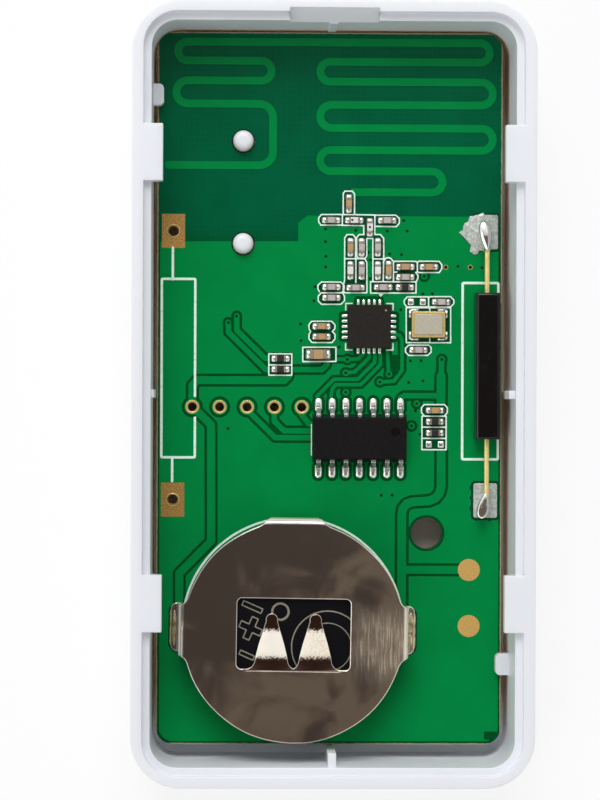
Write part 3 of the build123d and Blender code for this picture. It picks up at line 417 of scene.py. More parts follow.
def fired_ceramic(name, base):
    """Fired ceramic: dense and satin, with grains that show as faint mottling."""
    surface, tree, shader, place = new_surface(name)
    grain = add(tree, "TexNoise", {"Vector": place, "Scale": 1 / 0.25, "Detail": 4})
    # Parts from different reels differ in tone, over a few millimetres
    reel = add(tree, "TexNoise", {"Vector": place, "Scale": 1 / 2.2})
    tone = add(tree, "MapRange", {0: reel[0], 1: 0.35, 2: 0.65, 3: 0.0, 4: 0.6})
    fleck = add(tree, "MapRange", {0: grain[0], 1: 0.4, 2: 0.7, 3: 0.0, 4: 0.35})
    mixed = add(tree, "Math", {0: tone[0], 1: fleck[0]}, operation="ADD", use_clamp=True)
    other = [min(1.0, c * 0.6 + 0.22 * max(base)) for c in base]
    tint = add(tree, "Mix", {0: mixed[0], 6: base, 7: other}, data_type="RGBA")
    fill(tree, shader, {"Base Color": tint[2], "Roughness": 0.38, "IOR": 1.6})
    return surface


def nickel_strip(look):
    """Nickel plated spring steel: a dark warm mirror, scratched by the window, with painted highlights on
    its edges, bends and fingers, and a painted sheen.
    """
    surface, tree, shader, place = new_surface("nickel_plated_strip")
    middle = add(tree, "VectorMath", {0: place, 1: BOARD + CELL}, operation="SUBTRACT")
    x, y, _ = add(tree, "SeparateXYZ", {0: middle[0]})
    # Clouds in the plating are about 6 mm across
    cloud = add(tree, "TexNoise", {"Vector": place, "Scale": 1 / 6, "Detail": 5, "Distortion": 0.9})
    # Painted reflection: a sheen that lightens the strip towards +x and towards −y
    painted_sheen = add(tree, "MapRange", {0: x, 1: -9.0, 2: 9.0, 3: -0.1, 4: 0.12})
    near = add(tree, "MapRange", {0: y, 1: -9.0, 2: 9.0, 3: 0.09, 4: -0.09})
    cloudy = add(tree, "Math", {0: cloud[0], 1: painted_sheen[0]}, operation="ADD")
    cloudy = add(tree, "Math", {0: cloudy[0], 1: near[0]}, operation="ADD")
    shade = add(tree, "MapRange", {0: cloudy[0], 1: 0.4, 2: 0.64}, interpolation_type="SMOOTHSTEP")
    dark = [c * s for c, s in zip(look.nickel, (0.44, 0.44, 0.48))]
    tint = add(tree, "Mix", {0: shade[0], 6: dark, 7: look.nickel}, data_type="RGBA")
    # Scratches are 0.09 mm apart and a few millimetres long
    stretched = add(tree, "Mapping", {
        "Vector": place, "Scale": (1 / 0.09, 1 / 2.0, 1 / 0.09),
    })
    hair = add(tree, "TexNoise", {"Vector": stretched[0], "Scale": 1.0, "Detail": 6})
    right = add(tree, "MapRange", {0: x, 1: 4.6, 2: 6.6}, interpolation_type="SMOOTHSTEP")
    height = add(tree, "Math", {0: y, 1: 1.2}, operation="ADD")
    height = add(tree, "Math", {0: height[0]}, operation="ABSOLUTE")
    beside = add(tree, "MapRange", {
        0: height[0], 1: 1.2, 2: 4.2, 3: 1.0, 4: 0.0,
    }, interpolation_type="SMOOTHSTEP")
    zone = add(tree, "Math", {0: right[0], 1: beside[0]}, operation="MULTIPLY")
    lines = add(tree, "MapRange", {0: hair[0], 1: 0.47, 2: 0.7, 3: 0.12, 4: 0.55})
    worn = add(tree, "Math", {0: zone[0], 1: lines[0]}, operation="MULTIPLY")
    tint = add(tree, "Mix", {0: worn[0], 6: tint[2], 7: look.worn}, data_type="RGBA")
    # Painted highlight: bends and cut edges, where the sheet tilts from level, are made bright
    normal = add(tree, "NewGeometry")["Normal"]
    up = add(tree, "SeparateXYZ", {0: normal})[2]
    up = add(tree, "Math", {0: up}, operation="ABSOLUTE")
    edge_highlight = add(tree, "MapRange", {0: up[0], 1: 0.93, 2: 0.6, 3: 0.0, 4: 1.0})
    # Painted highlight along the middle of each finger, where its slope catches the light, and painted
    # dark reflection at its ragged root and tip
    grit = add(tree, "TexNoise", {"Vector": place, "Scale": 1 / 0.2, "Detail": 3})
    ragged = add(tree, "Math", {0: grit[0], 1: 0.9, 2: y}, operation="MULTIPLY_ADD")
    root = add(tree, "MapRange", {0: ragged[0], 1: -2.1, 2: -1.6}, interpolation_type="SMOOTHSTEP")
    tip = add(tree, "MapRange", {0: ragged[0], 1: 0.85, 2: 0.4}, interpolation_type="SMOOTHSTEP")
    wide = add(tree, "Math", {0: x, 1: 0.0, 2: 4.6}, operation="COMPARE")
    long = add(tree, "Math", {0: y, 1: -0.75, 2: 2.72}, operation="COMPARE")
    finger = add(tree, "Math", {0: wide[0], 1: long[0]}, operation="MULTIPLY")
    finger_highlight = add(tree, "Math", {0: root[0], 1: tip[0]}, operation="MULTIPLY")
    finger_highlight = add(tree, "Math", {0: finger_highlight[0], 1: finger[0]}, operation="MULTIPLY")
    # The painted highlight is weaker and mottled on the right finger
    spots = add(tree, "MapRange", {0: grit[0], 1: 0.42, 2: 0.6})
    dull = add(tree, "MapRange", {0: x, 1: 0.4, 2: 1.8, 3: 0.0, 4: 0.7})
    dull = add(tree, "Math", {0: dull[0], 1: spots[0]}, operation="MULTIPLY")
    pale = add(tree, "Mix", {0: dull[0], 6: look.bright, 7: look.worn}, data_type="RGBA")
    painted_shade = [c * s for c, s in zip(look.nickel, (0.2, 0.13, 0.12))]
    strip = add(tree, "Mix", {0: finger_highlight[0], 6: painted_shade, 7: pale[2]}, data_type="RGBA")
    tint = add(tree, "Mix", {0: finger[0], 6: tint[2], 7: strip[2]}, data_type="RGBA")
    tint = add(tree, "Mix", {0: edge_highlight[0], 6: tint[2], 7: look.bright}, data_type="RGBA")
    rough = add(tree, "MapRange", {0: worn[0], 3: 0.2, 4: 0.42})
    # The painted highlights and the brushed zone are made less metallic
    part = add(tree, "Math", {0: edge_highlight[0], 1: worn[0]}, operation="MAXIMUM")
    part = add(tree, "Math", {0: finger_highlight[0], 1: 1.7, 2: part[0]}, operation="MULTIPLY_ADD")
    metallic = add(tree, "MapRange", {0: part[0], 2: 1.3, 3: 1.0, 4: 0.15})
    bump = add(tree, "Bump", {"Height": cloud[0], "Strength": 0.15, "Distance": 0.12 * MM})
    bump = add(tree, "Bump", {
        "Height": hair[0], "Strength": 0.12, "Distance": 0.01 * MM, "Normal": bump[0],
    })
    fill(tree, shader, {
        "Base Color": tint[2], "Roughness": rough[0], "Metallic": metallic[0], "Normal": bump[0],
    })
    return surface


def seal_glass(look):
    """Drawn soda glass: clear, faintly green, very smooth."""
    surface, tree, shader, place = new_surface("drawn_glass")
    seed = add(tree, "TexNoise", {"Vector": place, "Scale": 1 / 0.5})
    rough = add(tree, "MapRange", {0: seed[0], 3: 0.01, 4: 0.05})
    fill(tree, shader, {
        "Base Color": look.glass, "Roughness": rough[0], "IOR": 1.52, "Transmission Weight": 1.0,
    })
    return surface


# Each metal: its look group and colour, how its patches are toned, its roughness from and to, its
# grain in mm, how metallic it is, and the height of its grain in mm
METALS = {
    # A few hundredths of a micron of gold over nickel: dull bronze gold with a sandy grain
    "immersion_gold": ("metal", "gold", 0.62, (0.42, 0.6), 0.16, 0.85, 0.02),
    # The same gold, paler and more even: painted light on the test pads, which catch more light; the open
    # vias' rims use it too
    "fresh_gold": ("metal", "probe", 0.82, (0.45, 0.6), 0.14, 0.7, 0.015),
    # Gold plated drawn wire: warm yellow and bright
    "gold_plated_wire": ("metal", "wire", 0.75, (0.22, 0.34), 0.5, 0.25, 0.01),
    # Tin solder melted in an oven: bright and smooth, with dull patches
    "reflowed_solder": ("metal", "solder", 0.7, (0.16, 0.32), 0.35, 0.95, 0.012),
    # Solder that froze undisturbed on a thick lead: a near mirror
    "bright_solder": ("metal", "solder", 0.85, (0.1, 0.2), 0.6, 1.0, 0.02),
    # Solder from an iron, dragged as it froze: pale grey and frosted
    "hand_solder": ("metal", "dull", 0.6, (0.38, 0.6), 0.28, 0.4, 0.05),
    # Solder under a skin of amber flux: golden, with brown patches
    "stained_solder": ("metal", "stained", (0.34, 0.27, 0.2), (0.2, 0.4), 0.7, 0.5, 0.04),
    # Matt tin over nickel on fired ends: cream grey, with a soft sheen
    "plated_cap": ("metal", "cap", 0.62, (0.36, 0.5), 0.18, 0.4, 0.015),
    # Matt tin plate on stamped leads: pale grey, softly bright
    "matt_tin_plate": ("metal", "tin", 0.72, (0.24, 0.4), 0.2, 0.95, 0.01),
    # Bead blasted nickel alloy lid: warm grey and satin
    "blasted_lid": ("chip", "lid", 0.8, (0.42, 0.55), 0.1, 0.7, 0.01),
    # Gold plated ring, polished: pale gold with soft highlights
    "plated_ring": ("chip", "ring", 0.85, (0.24, 0.36), 0.6, 0.55, 0.01),
    # Stamped stainless steel, painted near black as painted shade for the clip's shadow over the cell,
    # with a fine blasted grain
    "stamped_cell_steel": ("clip", "steel", 0.5, (0.3, 0.5), 0.12, 0.9, 0.02),
    # Painted highlight: a pale colour for the bright flank of a stamped line; the radio's pin mark uses
    # it too
    "stamped_line": ("clip", "mark", 0.55, (0.3, 0.5), 0.3, 0.8, 0.01),
}

# Fired ceramics and glazes, and the cell's polypropylene seal, which looks as dense and satin
CERAMICS = {
    "fired_tan_ceramic": ("chip", "tan"), "fired_grey_ceramic": ("chip", "grey"),
    "fired_white_ceramic": ("chip", "white"), "fired_brown_ceramic": ("chip", "base"),
    "resistor_glaze": ("chip", "glaze"), "moulded_gasket": ("clip", "gasket"),
}
EPOXIES = {"moulded_epoxy": ("chip", "mould"), "blasted_epoxy": ("chip", "blasted")}
OTHERS = {
    "moulded_abs": (moulded_abs, "housing"), "moulded_acrylic": (moulded_acrylic, "housing"),
    "resist_on_laminate": (resist_on_laminate, "board"), "resist_on_copper": (resist_on_copper, "board"),
    "resist_in_via": (covered_hole, "board"), "flux_film": (flux_film, "board"),
    "printed_ink": (printed_ink, "board"), "polished_epoxy": (polished_epoxy, "chip"),
    "nickel_plated_strip": (nickel_strip, "clip"), "drawn_glass": (seal_glass, "chip"),
}


def finish_of(name):
    """The material of that name, made once."""
    looks = bpy.context.scene.sensor
    if name in bpy.data.materials:
        return bpy.data.materials[name]
    if name in OTHERS:
        make, group = OTHERS[name]
        return make(getattr(looks, group))
    if name in METALS:
        group, base, *values = METALS[name]
        return mottled_metal(name, getattr(getattr(looks, group), base), *values)
    for table, make in ((CERAMICS, fired_ceramic), (EPOXIES, moulded_epoxy)):
        if name in table:
            group, base = table[name]
            return make(name, getattr(getattr(looks, group), base))
    raise ValueError(f"there is no finish named {name}")


# Meshes, worked in millimetres

def make_piece(name, mesh, finish, body="main_unit", replaced=(), level=False):
    """Put a mesh in millimetres into the scene as a finished piece that rides on a body."""
    mesh.name = name
    mesh.transform(Matrix.Scale(MM, 4))
    mesh.materials.clear()
    mesh.materials.append(finish_of(finish))
    mesh.set_sharp_from_angle(angle=math.radians(50))
    for face in mesh.polygons:
        face.use_smooth = abs(face.normal.z) < 0.9999
    piece = bpy.data.objects.new(name, mesh)
    if not level:
        even = piece.modifiers.new("even_normals", "WEIGHTED_NORMAL")
        even.keep_sharp = True
    bpy.context.scene.collection.objects.link(piece)
    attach(piece, body)
    if replaced:
        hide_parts(*replaced)
    return piece


@contextmanager
def reworked(mesh):
    """A mesh's points, edges and faces, written back to it after the changes."""
    work = bmesh.new()
    work.from_mesh(mesh)
    yield work
    work.to_mesh(mesh)
    work.free()


def mesh_from(vertices, faces):
    """A mesh from points and faces, with doubled points merged and its normals outward."""
    mesh = bpy.data.meshes.new("turned")
    mesh.from_pydata(vertices, [], faces)
    with reworked(mesh) as work:
        bmesh.ops.remove_doubles(work, verts=work.verts, dist=1e-5)
        bmesh.ops.recalc_face_normals(work, faces=work.faces)
    return mesh


def joined(meshes):
    """Several meshes as one."""
    made = bpy.data.meshes.new("joined")
    with reworked(made) as work:
        for mesh in meshes:
            work.from_mesh(mesh)
            bpy.data.meshes.remove(mesh)
    return made


def paint(node, finish):
    """Give a CAD node its finish."""
    NODES[node].data.materials.clear()
    NODES[node].data.materials.append(finish_of(finish))


def solids_of(node):
    """The lowest and highest corner of each solid of a node, in board millimetres."""
    mesh = NODES[node].data
    points = np.zeros(len(mesh.vertices) * 3)
    mesh.vertices.foreach_get("co", points)
    points = points.reshape(-1, 3) / MM - np.array(BOARD)
    keys = np.round(points, 4)
    _, same = np.unique(keys, axis=0, return_inverse=True)
    same = same.reshape(-1)
    parent = list(range(same.max() + 1))

    def root(index):
        while parent[index] != index:
            parent[index] = parent[parent[index]]
            index = parent[index]
        return index

    for face in mesh.polygons:
        first = root(same[face.vertices[0]])
        for vertex in face.vertices[1:]:
            parent[root(same[vertex])] = first
    groups = {}
    for index, key in enumerate(same):
        groups.setdefault(root(key), []).append(index)
    boxes = [(points[members].min(0), points[members].max(0)) for members in groups.values()]
    return sorted(boxes, key=lambda box: (round(box[0][0], 2), round(box[0][1], 2)))


def middles_of(node):
    """The middle of each solid of a node, seen from above."""
    return [((low + high) / 2)[:2] for low, high in solids_of(node)]


def softened(node, radius):
    """A copy of a CAD node, in millimetres, with its sharp edges rounded."""
    mesh = bpy.data.meshes.new(node)
    with reworked(mesh) as work:
        work.from_mesh(NODES[node].data)
        bmesh.ops.transform(work, matrix=Matrix.Scale(1 / MM, 4), verts=work.verts)
        bmesh.ops.remove_doubles(work, verts=work.verts, dist=0.0005)
        bmesh.ops.dissolve_limit(work, angle_limit=math.radians(1), verts=work.verts, edges=work.edges)
        sharp = [
            edge for edge in work.edges
            if len(edge.link_faces) == 2 and edge.calc_face_angle(0) > math.radians(30)
        ]
        bmesh.ops.bevel(
            work, geom=sharp, offset=radius, offset_type="OFFSET", segments=2, profile=0.5,
            affect="EDGES", clamp_overlap=True,
        )
    return mesh


class Artwork:
    """A fine grid over part of the board that holds the distance to the nearest drawn edge."""

    def __init__(self, step, low, high):
        self.step = step
        self.xs = np.arange(low[0] - 2 * step, high[0] + 2.5 * step, step)
        self.ys = np.arange(low[1] - 2 * step, high[1] + 2.5 * step, step)
        self.field = np.full((len(self.ys), len(self.xs)), FAR)

    def window(self, low, high, reach=1.2):
        """The part of the grid near a box, and its places."""
        columns = slice(*np.searchsorted(self.xs, (low[0] - reach, high[0] + reach)))
        rows = slice(*np.searchsorted(self.ys, (low[1] - reach, high[1] + reach)))
        return (rows, columns), self.xs[columns][None, :], self.ys[rows][:, None]

    def merge(self, part, distance):
        """Add a shape's distance to the drawing."""
        self.field[part] = np.minimum(self.field[part], distance)

    def stroke(self, points, width):
        """A line of one width with round ends."""
        for (ax, ay), (bx, by) in zip(points, points[1:]):
            part, x, y = self.window((min(ax, bx), min(ay, by)), (max(ax, bx), max(ay, by)))
            self.merge(part, segment_distance(x, y, ax, ay, bx, by) - width / 2)

    def disc(self, x0, y0, radius):
        """A filled circle."""
        part, x, y = self.window((x0 - radius, y0 - radius), (x0 + radius, y0 + radius))
        self.merge(part, np.hypot(x - x0, y - y0) - radius)

    def ring(self, x0, y0, radius, width):
        """A circle's line."""
        part, x, y = self.window((x0 - radius, y0 - radius), (x0 + radius, y0 + radius))
        self.merge(part, abs(np.hypot(x - x0, y - y0) - radius) - width / 2)

    def block(self, low, high, radius=0.0, line=None):
        """A rectangle with rounded corners, filled or as a line."""
        part, x, y = self.window(low, high)
        distance = block_distance(x, y, low, high, radius)
        self.merge(part, distance if line is None else abs(distance) - line / 2)

    def shape(self, points, line=None):
        """A polygon, filled or as a line."""
        part, x, y = self.window(np.min(points, axis=0), np.max(points, axis=0))
        distance = shape_distance(x, y, points)
        self.merge(part, distance if line is None else abs(distance) - line / 2)

    def pads(self, node, grow, radius, beyond=None):
        """The outline of each solid of a node, grown before and beyond it."""
        for low, high in solids_of(node):
            self.block(low[:2] - grow, high[:2] + (grow if beyond is None else beyond), radius)

    def discs(self, places, radius):
        """Filled circles of one size."""
        for x, y in places:
            self.disc(x, y, radius)

    def cut(self, other):
        """Take another drawing away from this one."""
        self.field = np.maximum(self.field, -other.field)

    def loops(self):
        """The drawn edges as closed rings of points."""
        return [thinned(loop) for loop in edge_loops(self.field, self.xs, self.ys) if len(loop) > 8]


def board_artwork():
    """An empty drawing as large as the board."""
    return Artwork(BOARD_STEP, (-HALF_W, -HALF_L), (HALF_W, HALF_L))


def segment_distance(x, y, ax, ay, bx, by):
    """Distance from each place to a straight line between two points."""
    dx, dy = bx - ax, by - ay
    t = np.clip(((x - ax) * dx + (y - ay) * dy) / max(dx * dx + dy * dy, 1e-12), 0, 1)
    return np.hypot(x - ax - t * dx, y - ay - t * dy)


def block_distance(x, y, low, high, radius):
    """Signed distance to a rectangle with rounded corners."""
    qx = abs(x - (low[0] + high[0]) / 2) - (high[0] - low[0]) / 2 + radius
    qy = abs(y - (low[1] + high[1]) / 2) - (high[1] - low[1]) / 2 + radius
    return np.hypot(np.maximum(qx, 0), np.maximum(qy, 0)) + np.minimum(np.maximum(qx, qy), 0) - radius


def shape_distance(x, y, points):
    """Signed distance to a polygon."""
    distance = np.full(np.broadcast(x, y).shape, 1e9)
    inside = np.zeros(distance.shape, bool)
    for (ax, ay), (bx, by) in zip(points, [*points[1:], points[0]]):
        distance = np.minimum(distance, segment_distance(x, y, ax, ay, bx, by))
        crossing = (y < ay) != (y < by)
        slope = (bx - ax) / (by - ay) if by != ay else 0.0
        inside ^= crossing & (x < ax + (y - ay) * slope)
    return np.where(inside, -distance, distance)


# Which sides of a grid square the line enters and leaves by (bottom, right, top, left), for each set
# of its corners that lies inside the shape
LINES_BY_CORNERS = {
    1: "BL", 2: "RB", 3: "RL", 4: "TR", 5: "BLTR", 6: "TB", 7: "TL", 8: "LT", 9: "BT", 10: "LTRB",
    11: "RT", 12: "LR", 13: "BR", 14: "LB",
}


def edge_loops(field, xs, ys):
    """Closed rings where the field is zero, with the inside on the left."""
    inside = field < 0
    code = inside[:-1, :-1] + 2 * inside[:-1, 1:] + 4 * inside[1:, 1:] + 8 * inside[1:, :-1]
    following = {}
    for case, line in LINES_BY_CORNERS.items():
        for row, column in zip(*np.nonzero(code == case)):
            edges = {
                "B": (0, row, column), "T": (0, row + 1, column),
                "L": (1, row, column), "R": (1, row, column + 1),
            }
            for start, end in zip(line[::2], line[1::2]):
                following[edges[start]] = edges[end]
    loops = []
    while following:
        key = next(iter(following))
        loop = []
        while key in following:
            loop.append(crossing_point(field, xs, ys, key))
            key = following.pop(key)
        loops.append(loop)
    return loops


def crossing_point(field, xs, ys, key):
    """Where the field is zero on one edge of the grid."""
    upright, row, column = key
    a = field[row, column]
    b = field[row + 1, column] if upright else field[row, column + 1]
    t = a / (a - b)
    if upright:
        return xs[column], ys[row] + t * (ys[row + 1] - ys[row])
    return xs[column] + t * (xs[column + 1] - xs[column]), ys[row]


def thinned(loop, tolerance=0.006):
    """A ring without the points that its line doesn't need."""
    points = np.array(loop)
    keep = {0, len(points) // 2}
    spans = [(0, len(points) // 2), (len(points) // 2, len(points))]
    while spans:
        start, end = spans.pop()
        if end - start < 2:
            continue
        a, b = points[start], points[end % len(points)]
        between = points[start + 1:end]
        gaps = segment_distance(between[:, 0], between[:, 1], *a, *b)
        far = int(np.argmax(gaps))
        if gaps[far] > tolerance:
            keep.add(start + 1 + far)
            spans += [(start, start + 1 + far), (start + 1 + far, end)]
    return points[sorted(keep)]


def relief(loops, base, height, rounding=0.012, steps=1):
    """Flat shapes raised from base by height, with rounded edges, in millimetres."""
    curve = bpy.data.curves.new("relief", "CURVE")
    curve.dimensions = "2D"
    curve.fill_mode = "BOTH"
    curve.extrude = height / 2 - rounding
    curve.bevel_depth = rounding
    curve.bevel_resolution = steps
    curve.offset = -rounding
    for loop in loops:
        spline = curve.splines.new("POLY")
        spline.points.add(len(loop) - 1)
        spline.points.foreach_set("co", [v for x, y in loop for v in (x, y, 0, 1)])
        spline.use_cyclic_u = True
    holder = bpy.data.objects.new("relief", curve)
    bpy.context.scene.collection.objects.link(holder)
    graph = bpy.context.evaluated_depsgraph_get()
    mesh = bpy.data.meshes.new_from_object(holder.evaluated_get(graph))
    bpy.data.objects.remove(holder)
    bpy.data.curves.remove(curve)
    mesh.transform(Matrix.Translation((0, 0, base + height / 2)))
    with reworked(mesh) as work:
        bmesh.ops.remove_doubles(work, verts=work.verts, dist=1e-4)
    return mesh


def on_board(mesh, place=(0.0, 0.0), turn=0.0):
    """Move a mesh in millimetres from its own place and turn to the top of the board."""
    spot = Matrix.Translation(BOARD + Vector((*place, 0)))
    mesh.transform(spot @ Matrix.Rotation(math.radians(turn), 4, "Z"))
    return mesh


def turned(profile, x, y, steps=24, hollow=False):
    """A shape turned about an upright axis from (radius, height) points, solid or a closed ring."""
    angles = [2 * math.pi * index / steps for index in range(steps)]
    vertices = [
        (x + radius * math.cos(angle), y + radius * math.sin(angle), height)
        for radius, height in profile for angle in angles
    ]
    return mesh_from(vertices, ring_faces(len(profile), steps, hollow))


def ring_faces(rings, steps, hollow=False):
    """Faces between rings of points, closed by end faces, or from the last ring to the first."""
    faces = [] if hollow else [tuple(range(steps)), tuple(range((rings - 1) * steps, rings * steps))]
    for ring in range(rings if hollow else rings - 1):
        a, b = ring * steps, (ring + 1) % rings * steps
        for index in range(steps):
            after = (index + 1) % steps
            faces.append((a + index, a + after, b + after, b + index))
    return faces


# Forms that several pieces share

def round_off(node, finish, radius):
    """Replace a CAD node by a copy with rounded edges."""
    make_piece(node + "_finished", softened(node, radius), finish, replaced=(node,))


def mounds(node, height, corner, grow=0.0):
    """Rounded solder in place of each solid of a pad node."""
    meshes = []
    for low, high in solids_of(node):
        x, y = ((low + high) / 2)[:2]
        half_w, half_l = ((high - low) / 2 + grow)[:2]
        meshes.append(bead(x, y, half_w, half_l, 0.0, height, min(half_w, half_l) * corner))
    return on_board(joined(meshes))


def flux(name, film, height, rounding, place=(0.0, 0.0), turn=0.0, replaced=()):
    """A dark glossy film over a drawn area: set flux, and painted shadow round parts."""
    mesh = on_board(relief(film.loops(), 0.0, height, rounding), place, turn)
    make_piece(name, mesh, "flux_film", replaced=replaced, level=True)


def bead(x, y, half_w, half_l, base, height, corner=None, wall=0.0, lean=0.0, skew=0.0, steps=24):
    """Solder over an oval, or a box with round corners: an upright wall, if any, then a crown."""
    slopes = [math.radians(slope) for slope in range(0, 90, 15)]
    crown = [(math.cos(slope), wall + (height - wall) * math.sin(slope)) for slope in slopes]
    rings = [(1.0, 0.0), *crown[0 if wall else 1:], (0.02, height)]
    vertices = []
    for reach, rise in rings:
        for index in range(steps):
            angle = 2 * math.pi * (index + 0.5) / steps
            c, s = math.cos(angle), math.sin(angle)
            if corner is None:
                u, v = c * half_w, s * half_l
            else:
                u = c * corner + math.copysign(half_w - corner, c)
                v = s * corner + math.copysign(half_l - corner, s)
            # A positive lean narrows the far end, and the skew moves the narrow end aside
            aside = skew * (1 + math.copysign(1, lean) * s) / 2
            vertices.append((x + reach * u * (1 - lean * s) + aside, y + reach * v, base + rise))
    return mesh_from(vertices, ring_faces(len(rings), steps))


def rounded_block(low, high, radius):
    """A block with rounded edges."""
    made = bpy.data.meshes.new("block")
    low, high = Vector(low), Vector(high)
    with reworked(made) as work:
        bmesh.ops.create_cube(work, size=1.0)
        bmesh.ops.scale(work, vec=high - low, verts=work.verts)
        bmesh.ops.translate(work, vec=(low + high) / 2, verts=work.verts)
        bmesh.ops.bevel(work, geom=work.edges[:], offset=radius, segments=2, profile=0.5, affect="EDGES")
    return made


# Operators, each with what only its pieces need

class SENSOR_OT_stage(bpy.types.Operator):
    """Set the camera, lamps, world and floor"""

    bl_idname = "sensor.stage"
    bl_label = "Stage"

    def execute(self, context):
        look = context.scene.sensor.stage
        context.scene.view_settings.view_transform = "Standard"
        set_camera(context.scene)
        set_lamp("key_lamp", (-0.08, 0.58, 0.60), 0.50, look.key)
        set_lamp("side_lamp", (-0.62, -0.30, 0.45), 0.50, look.side)
        set_world(context.scene, look)
        bpy.ops.mesh.primitive_plane_add(size=4.0, location=(0, 0, -0.0002))
        floor = context.object
        floor.name = "floor"
        floor.data.materials.append(floor_paper(look))
        return {"FINISHED"}


# What the camera stands above and looks at, in millimetres from the origin, its height over the
# board in metres, its lens in millimetres and its turn in degrees
CAMERA_OVER = (-8.90, -0.54)
CAMERA_AIM = (-5.47, -0.54)
CAMERA_HEIGHT = 0.220
CAMERA_LENS = 106.8
CAMERA_ROLL = -0.2


def set_camera(scene):
    """The camera above the board, a little left of its middle."""
    above = Vector((*CAMERA_OVER, BOARD.z)) * MM + Vector((0, 0, CAMERA_HEIGHT))
    aim = Vector((*CAMERA_AIM, BOARD.z)) * MM
    roll = math.radians(CAMERA_ROLL)
    back = (above - aim).normalized()
    side = Vector((math.sin(roll), math.cos(roll), 0)).cross(back).normalized()
    turn = Matrix((side, back.cross(side), back)).transposed()
    data = bpy.data.cameras.new("camera")
    data.lens = CAMERA_LENS
    data.shift_x = 0.035
    data.clip_start = 0.01
    camera = bpy.data.objects.new("camera", data)
    camera.matrix_world = Matrix.Translation(above) @ turn.to_4x4()
    scene.collection.objects.link(camera)
    scene.camera = camera


def set_lamp(name, place, width, power):
    """A square soft lamp that faces the board."""
    data = bpy.data.lights.new(name, "AREA")
    data.shape = "SQUARE"
    data.size = width
    data.energy = power
    lamp = bpy.data.objects.new(name, data)
    lamp.location = place
    lamp.rotation_euler = (Vector(place)).to_track_quat("Z", "Y").to_euler()
    bpy.context.scene.collection.objects.link(lamp)


def seen_directly(tree):
    """1 for rays from the camera, a mirror or a lens, and 0 for light that falls on things."""
    path = add(tree, "LightPath")
    seen = add(tree, "Math", {
        0: path["Is Camera Ray"], 1: path["Is Glossy Ray"],
    }, operation="MAXIMUM")
    seen = add(tree, "Math", {0: seen[0], 1: path["Is Transmission Ray"]}, operation="MAXIMUM")
    return seen[0]


def set_world(scene, look):
    """Even light from all round; mirrors see white walls, a bright far side and a dimmer ceiling."""
    world = bpy.data.worlds.new("studio")
    scene.world = world
    world.use_nodes = True
    tree = world.node_tree
    tree.nodes.clear()
    place = add(tree, "TexCoord")
    _, y, z = add(tree, "SeparateXYZ", {0: place["Generated"]})
    walls = add(tree, "MapRange", {
        0: z, 1: 0.80, 2: 0.93, 3: 1.0, 4: 0.0,
    }, interpolation_type="SMOOTHSTEP")
    window = add(tree, "MapRange", {
        0: y, 1: 0.12, 2: 0.19, 3: 0.0, 4: 1.0,
    }, interpolation_type="SMOOTHSTEP")
    light = add(tree, "Math", {0: walls[0], 1: window[0]}, operation="MAXIMUM")
    shade = add(tree, "Mix", {
        0: light[0], 6: look.ceiling, 7: (1, 1, 1),
    }, data_type="RGBA")
    ambient = add(tree, "Background", {"Color": (1, 1, 1), "Strength": look.ambient})
    shown = add(tree, "Background", {"Color": shade[2], "Strength": 1.0})
    both = add(tree, "MixShader", {0: seen_directly(tree), 1: ambient[0], 2: shown[0]})
    add(tree, "OutputWorld", {"Surface": both[0]})


def floor_paper(look):
    """Matt white paper that keeps the shadow and looks white to the camera."""
    surface, tree, shader, place = new_surface("matt_paper")
    fibre = add(tree, "TexNoise", {"Vector": place, "Scale": 1 / 2.0, "Detail": 3})
    bump = add(tree, "Bump", {"Height": fibre[0], "Strength": 0.05, "Distance": 0.05 * MM})
    fill(tree, shader, {"Base Color": look.floor, "Roughness": 0.9, "Normal": bump[0]})
    white = add(tree, "Emission", {"Color": (1, 1, 1), "Strength": 1.0})
    amount = add(tree, "Math", {0: seen_directly(tree), 1: 0.8}, operation="MULTIPLY")
    both = add(tree, "MixShader", {0: amount[0], 1: shader.outputs[0], 2: white[0]})
    tree.links.new(both[0], tree.nodes["Material Output"].inputs["Surface"])
    return surface


class SENSOR_OT_housing(bpy.types.Operator):
    """Finish the front housing and its light window"""

    bl_idname = "sensor.housing"
    bl_label = "Front housing"

    def execute(self, context):
        look = context.scene.sensor.housing
        round_off("front_housing", "moulded_abs", look.edge / MM)
        paint("light_window", "moulded_acrylic")
        return {"FINISHED"}


# Board artwork, in millimetres from the middle of the board

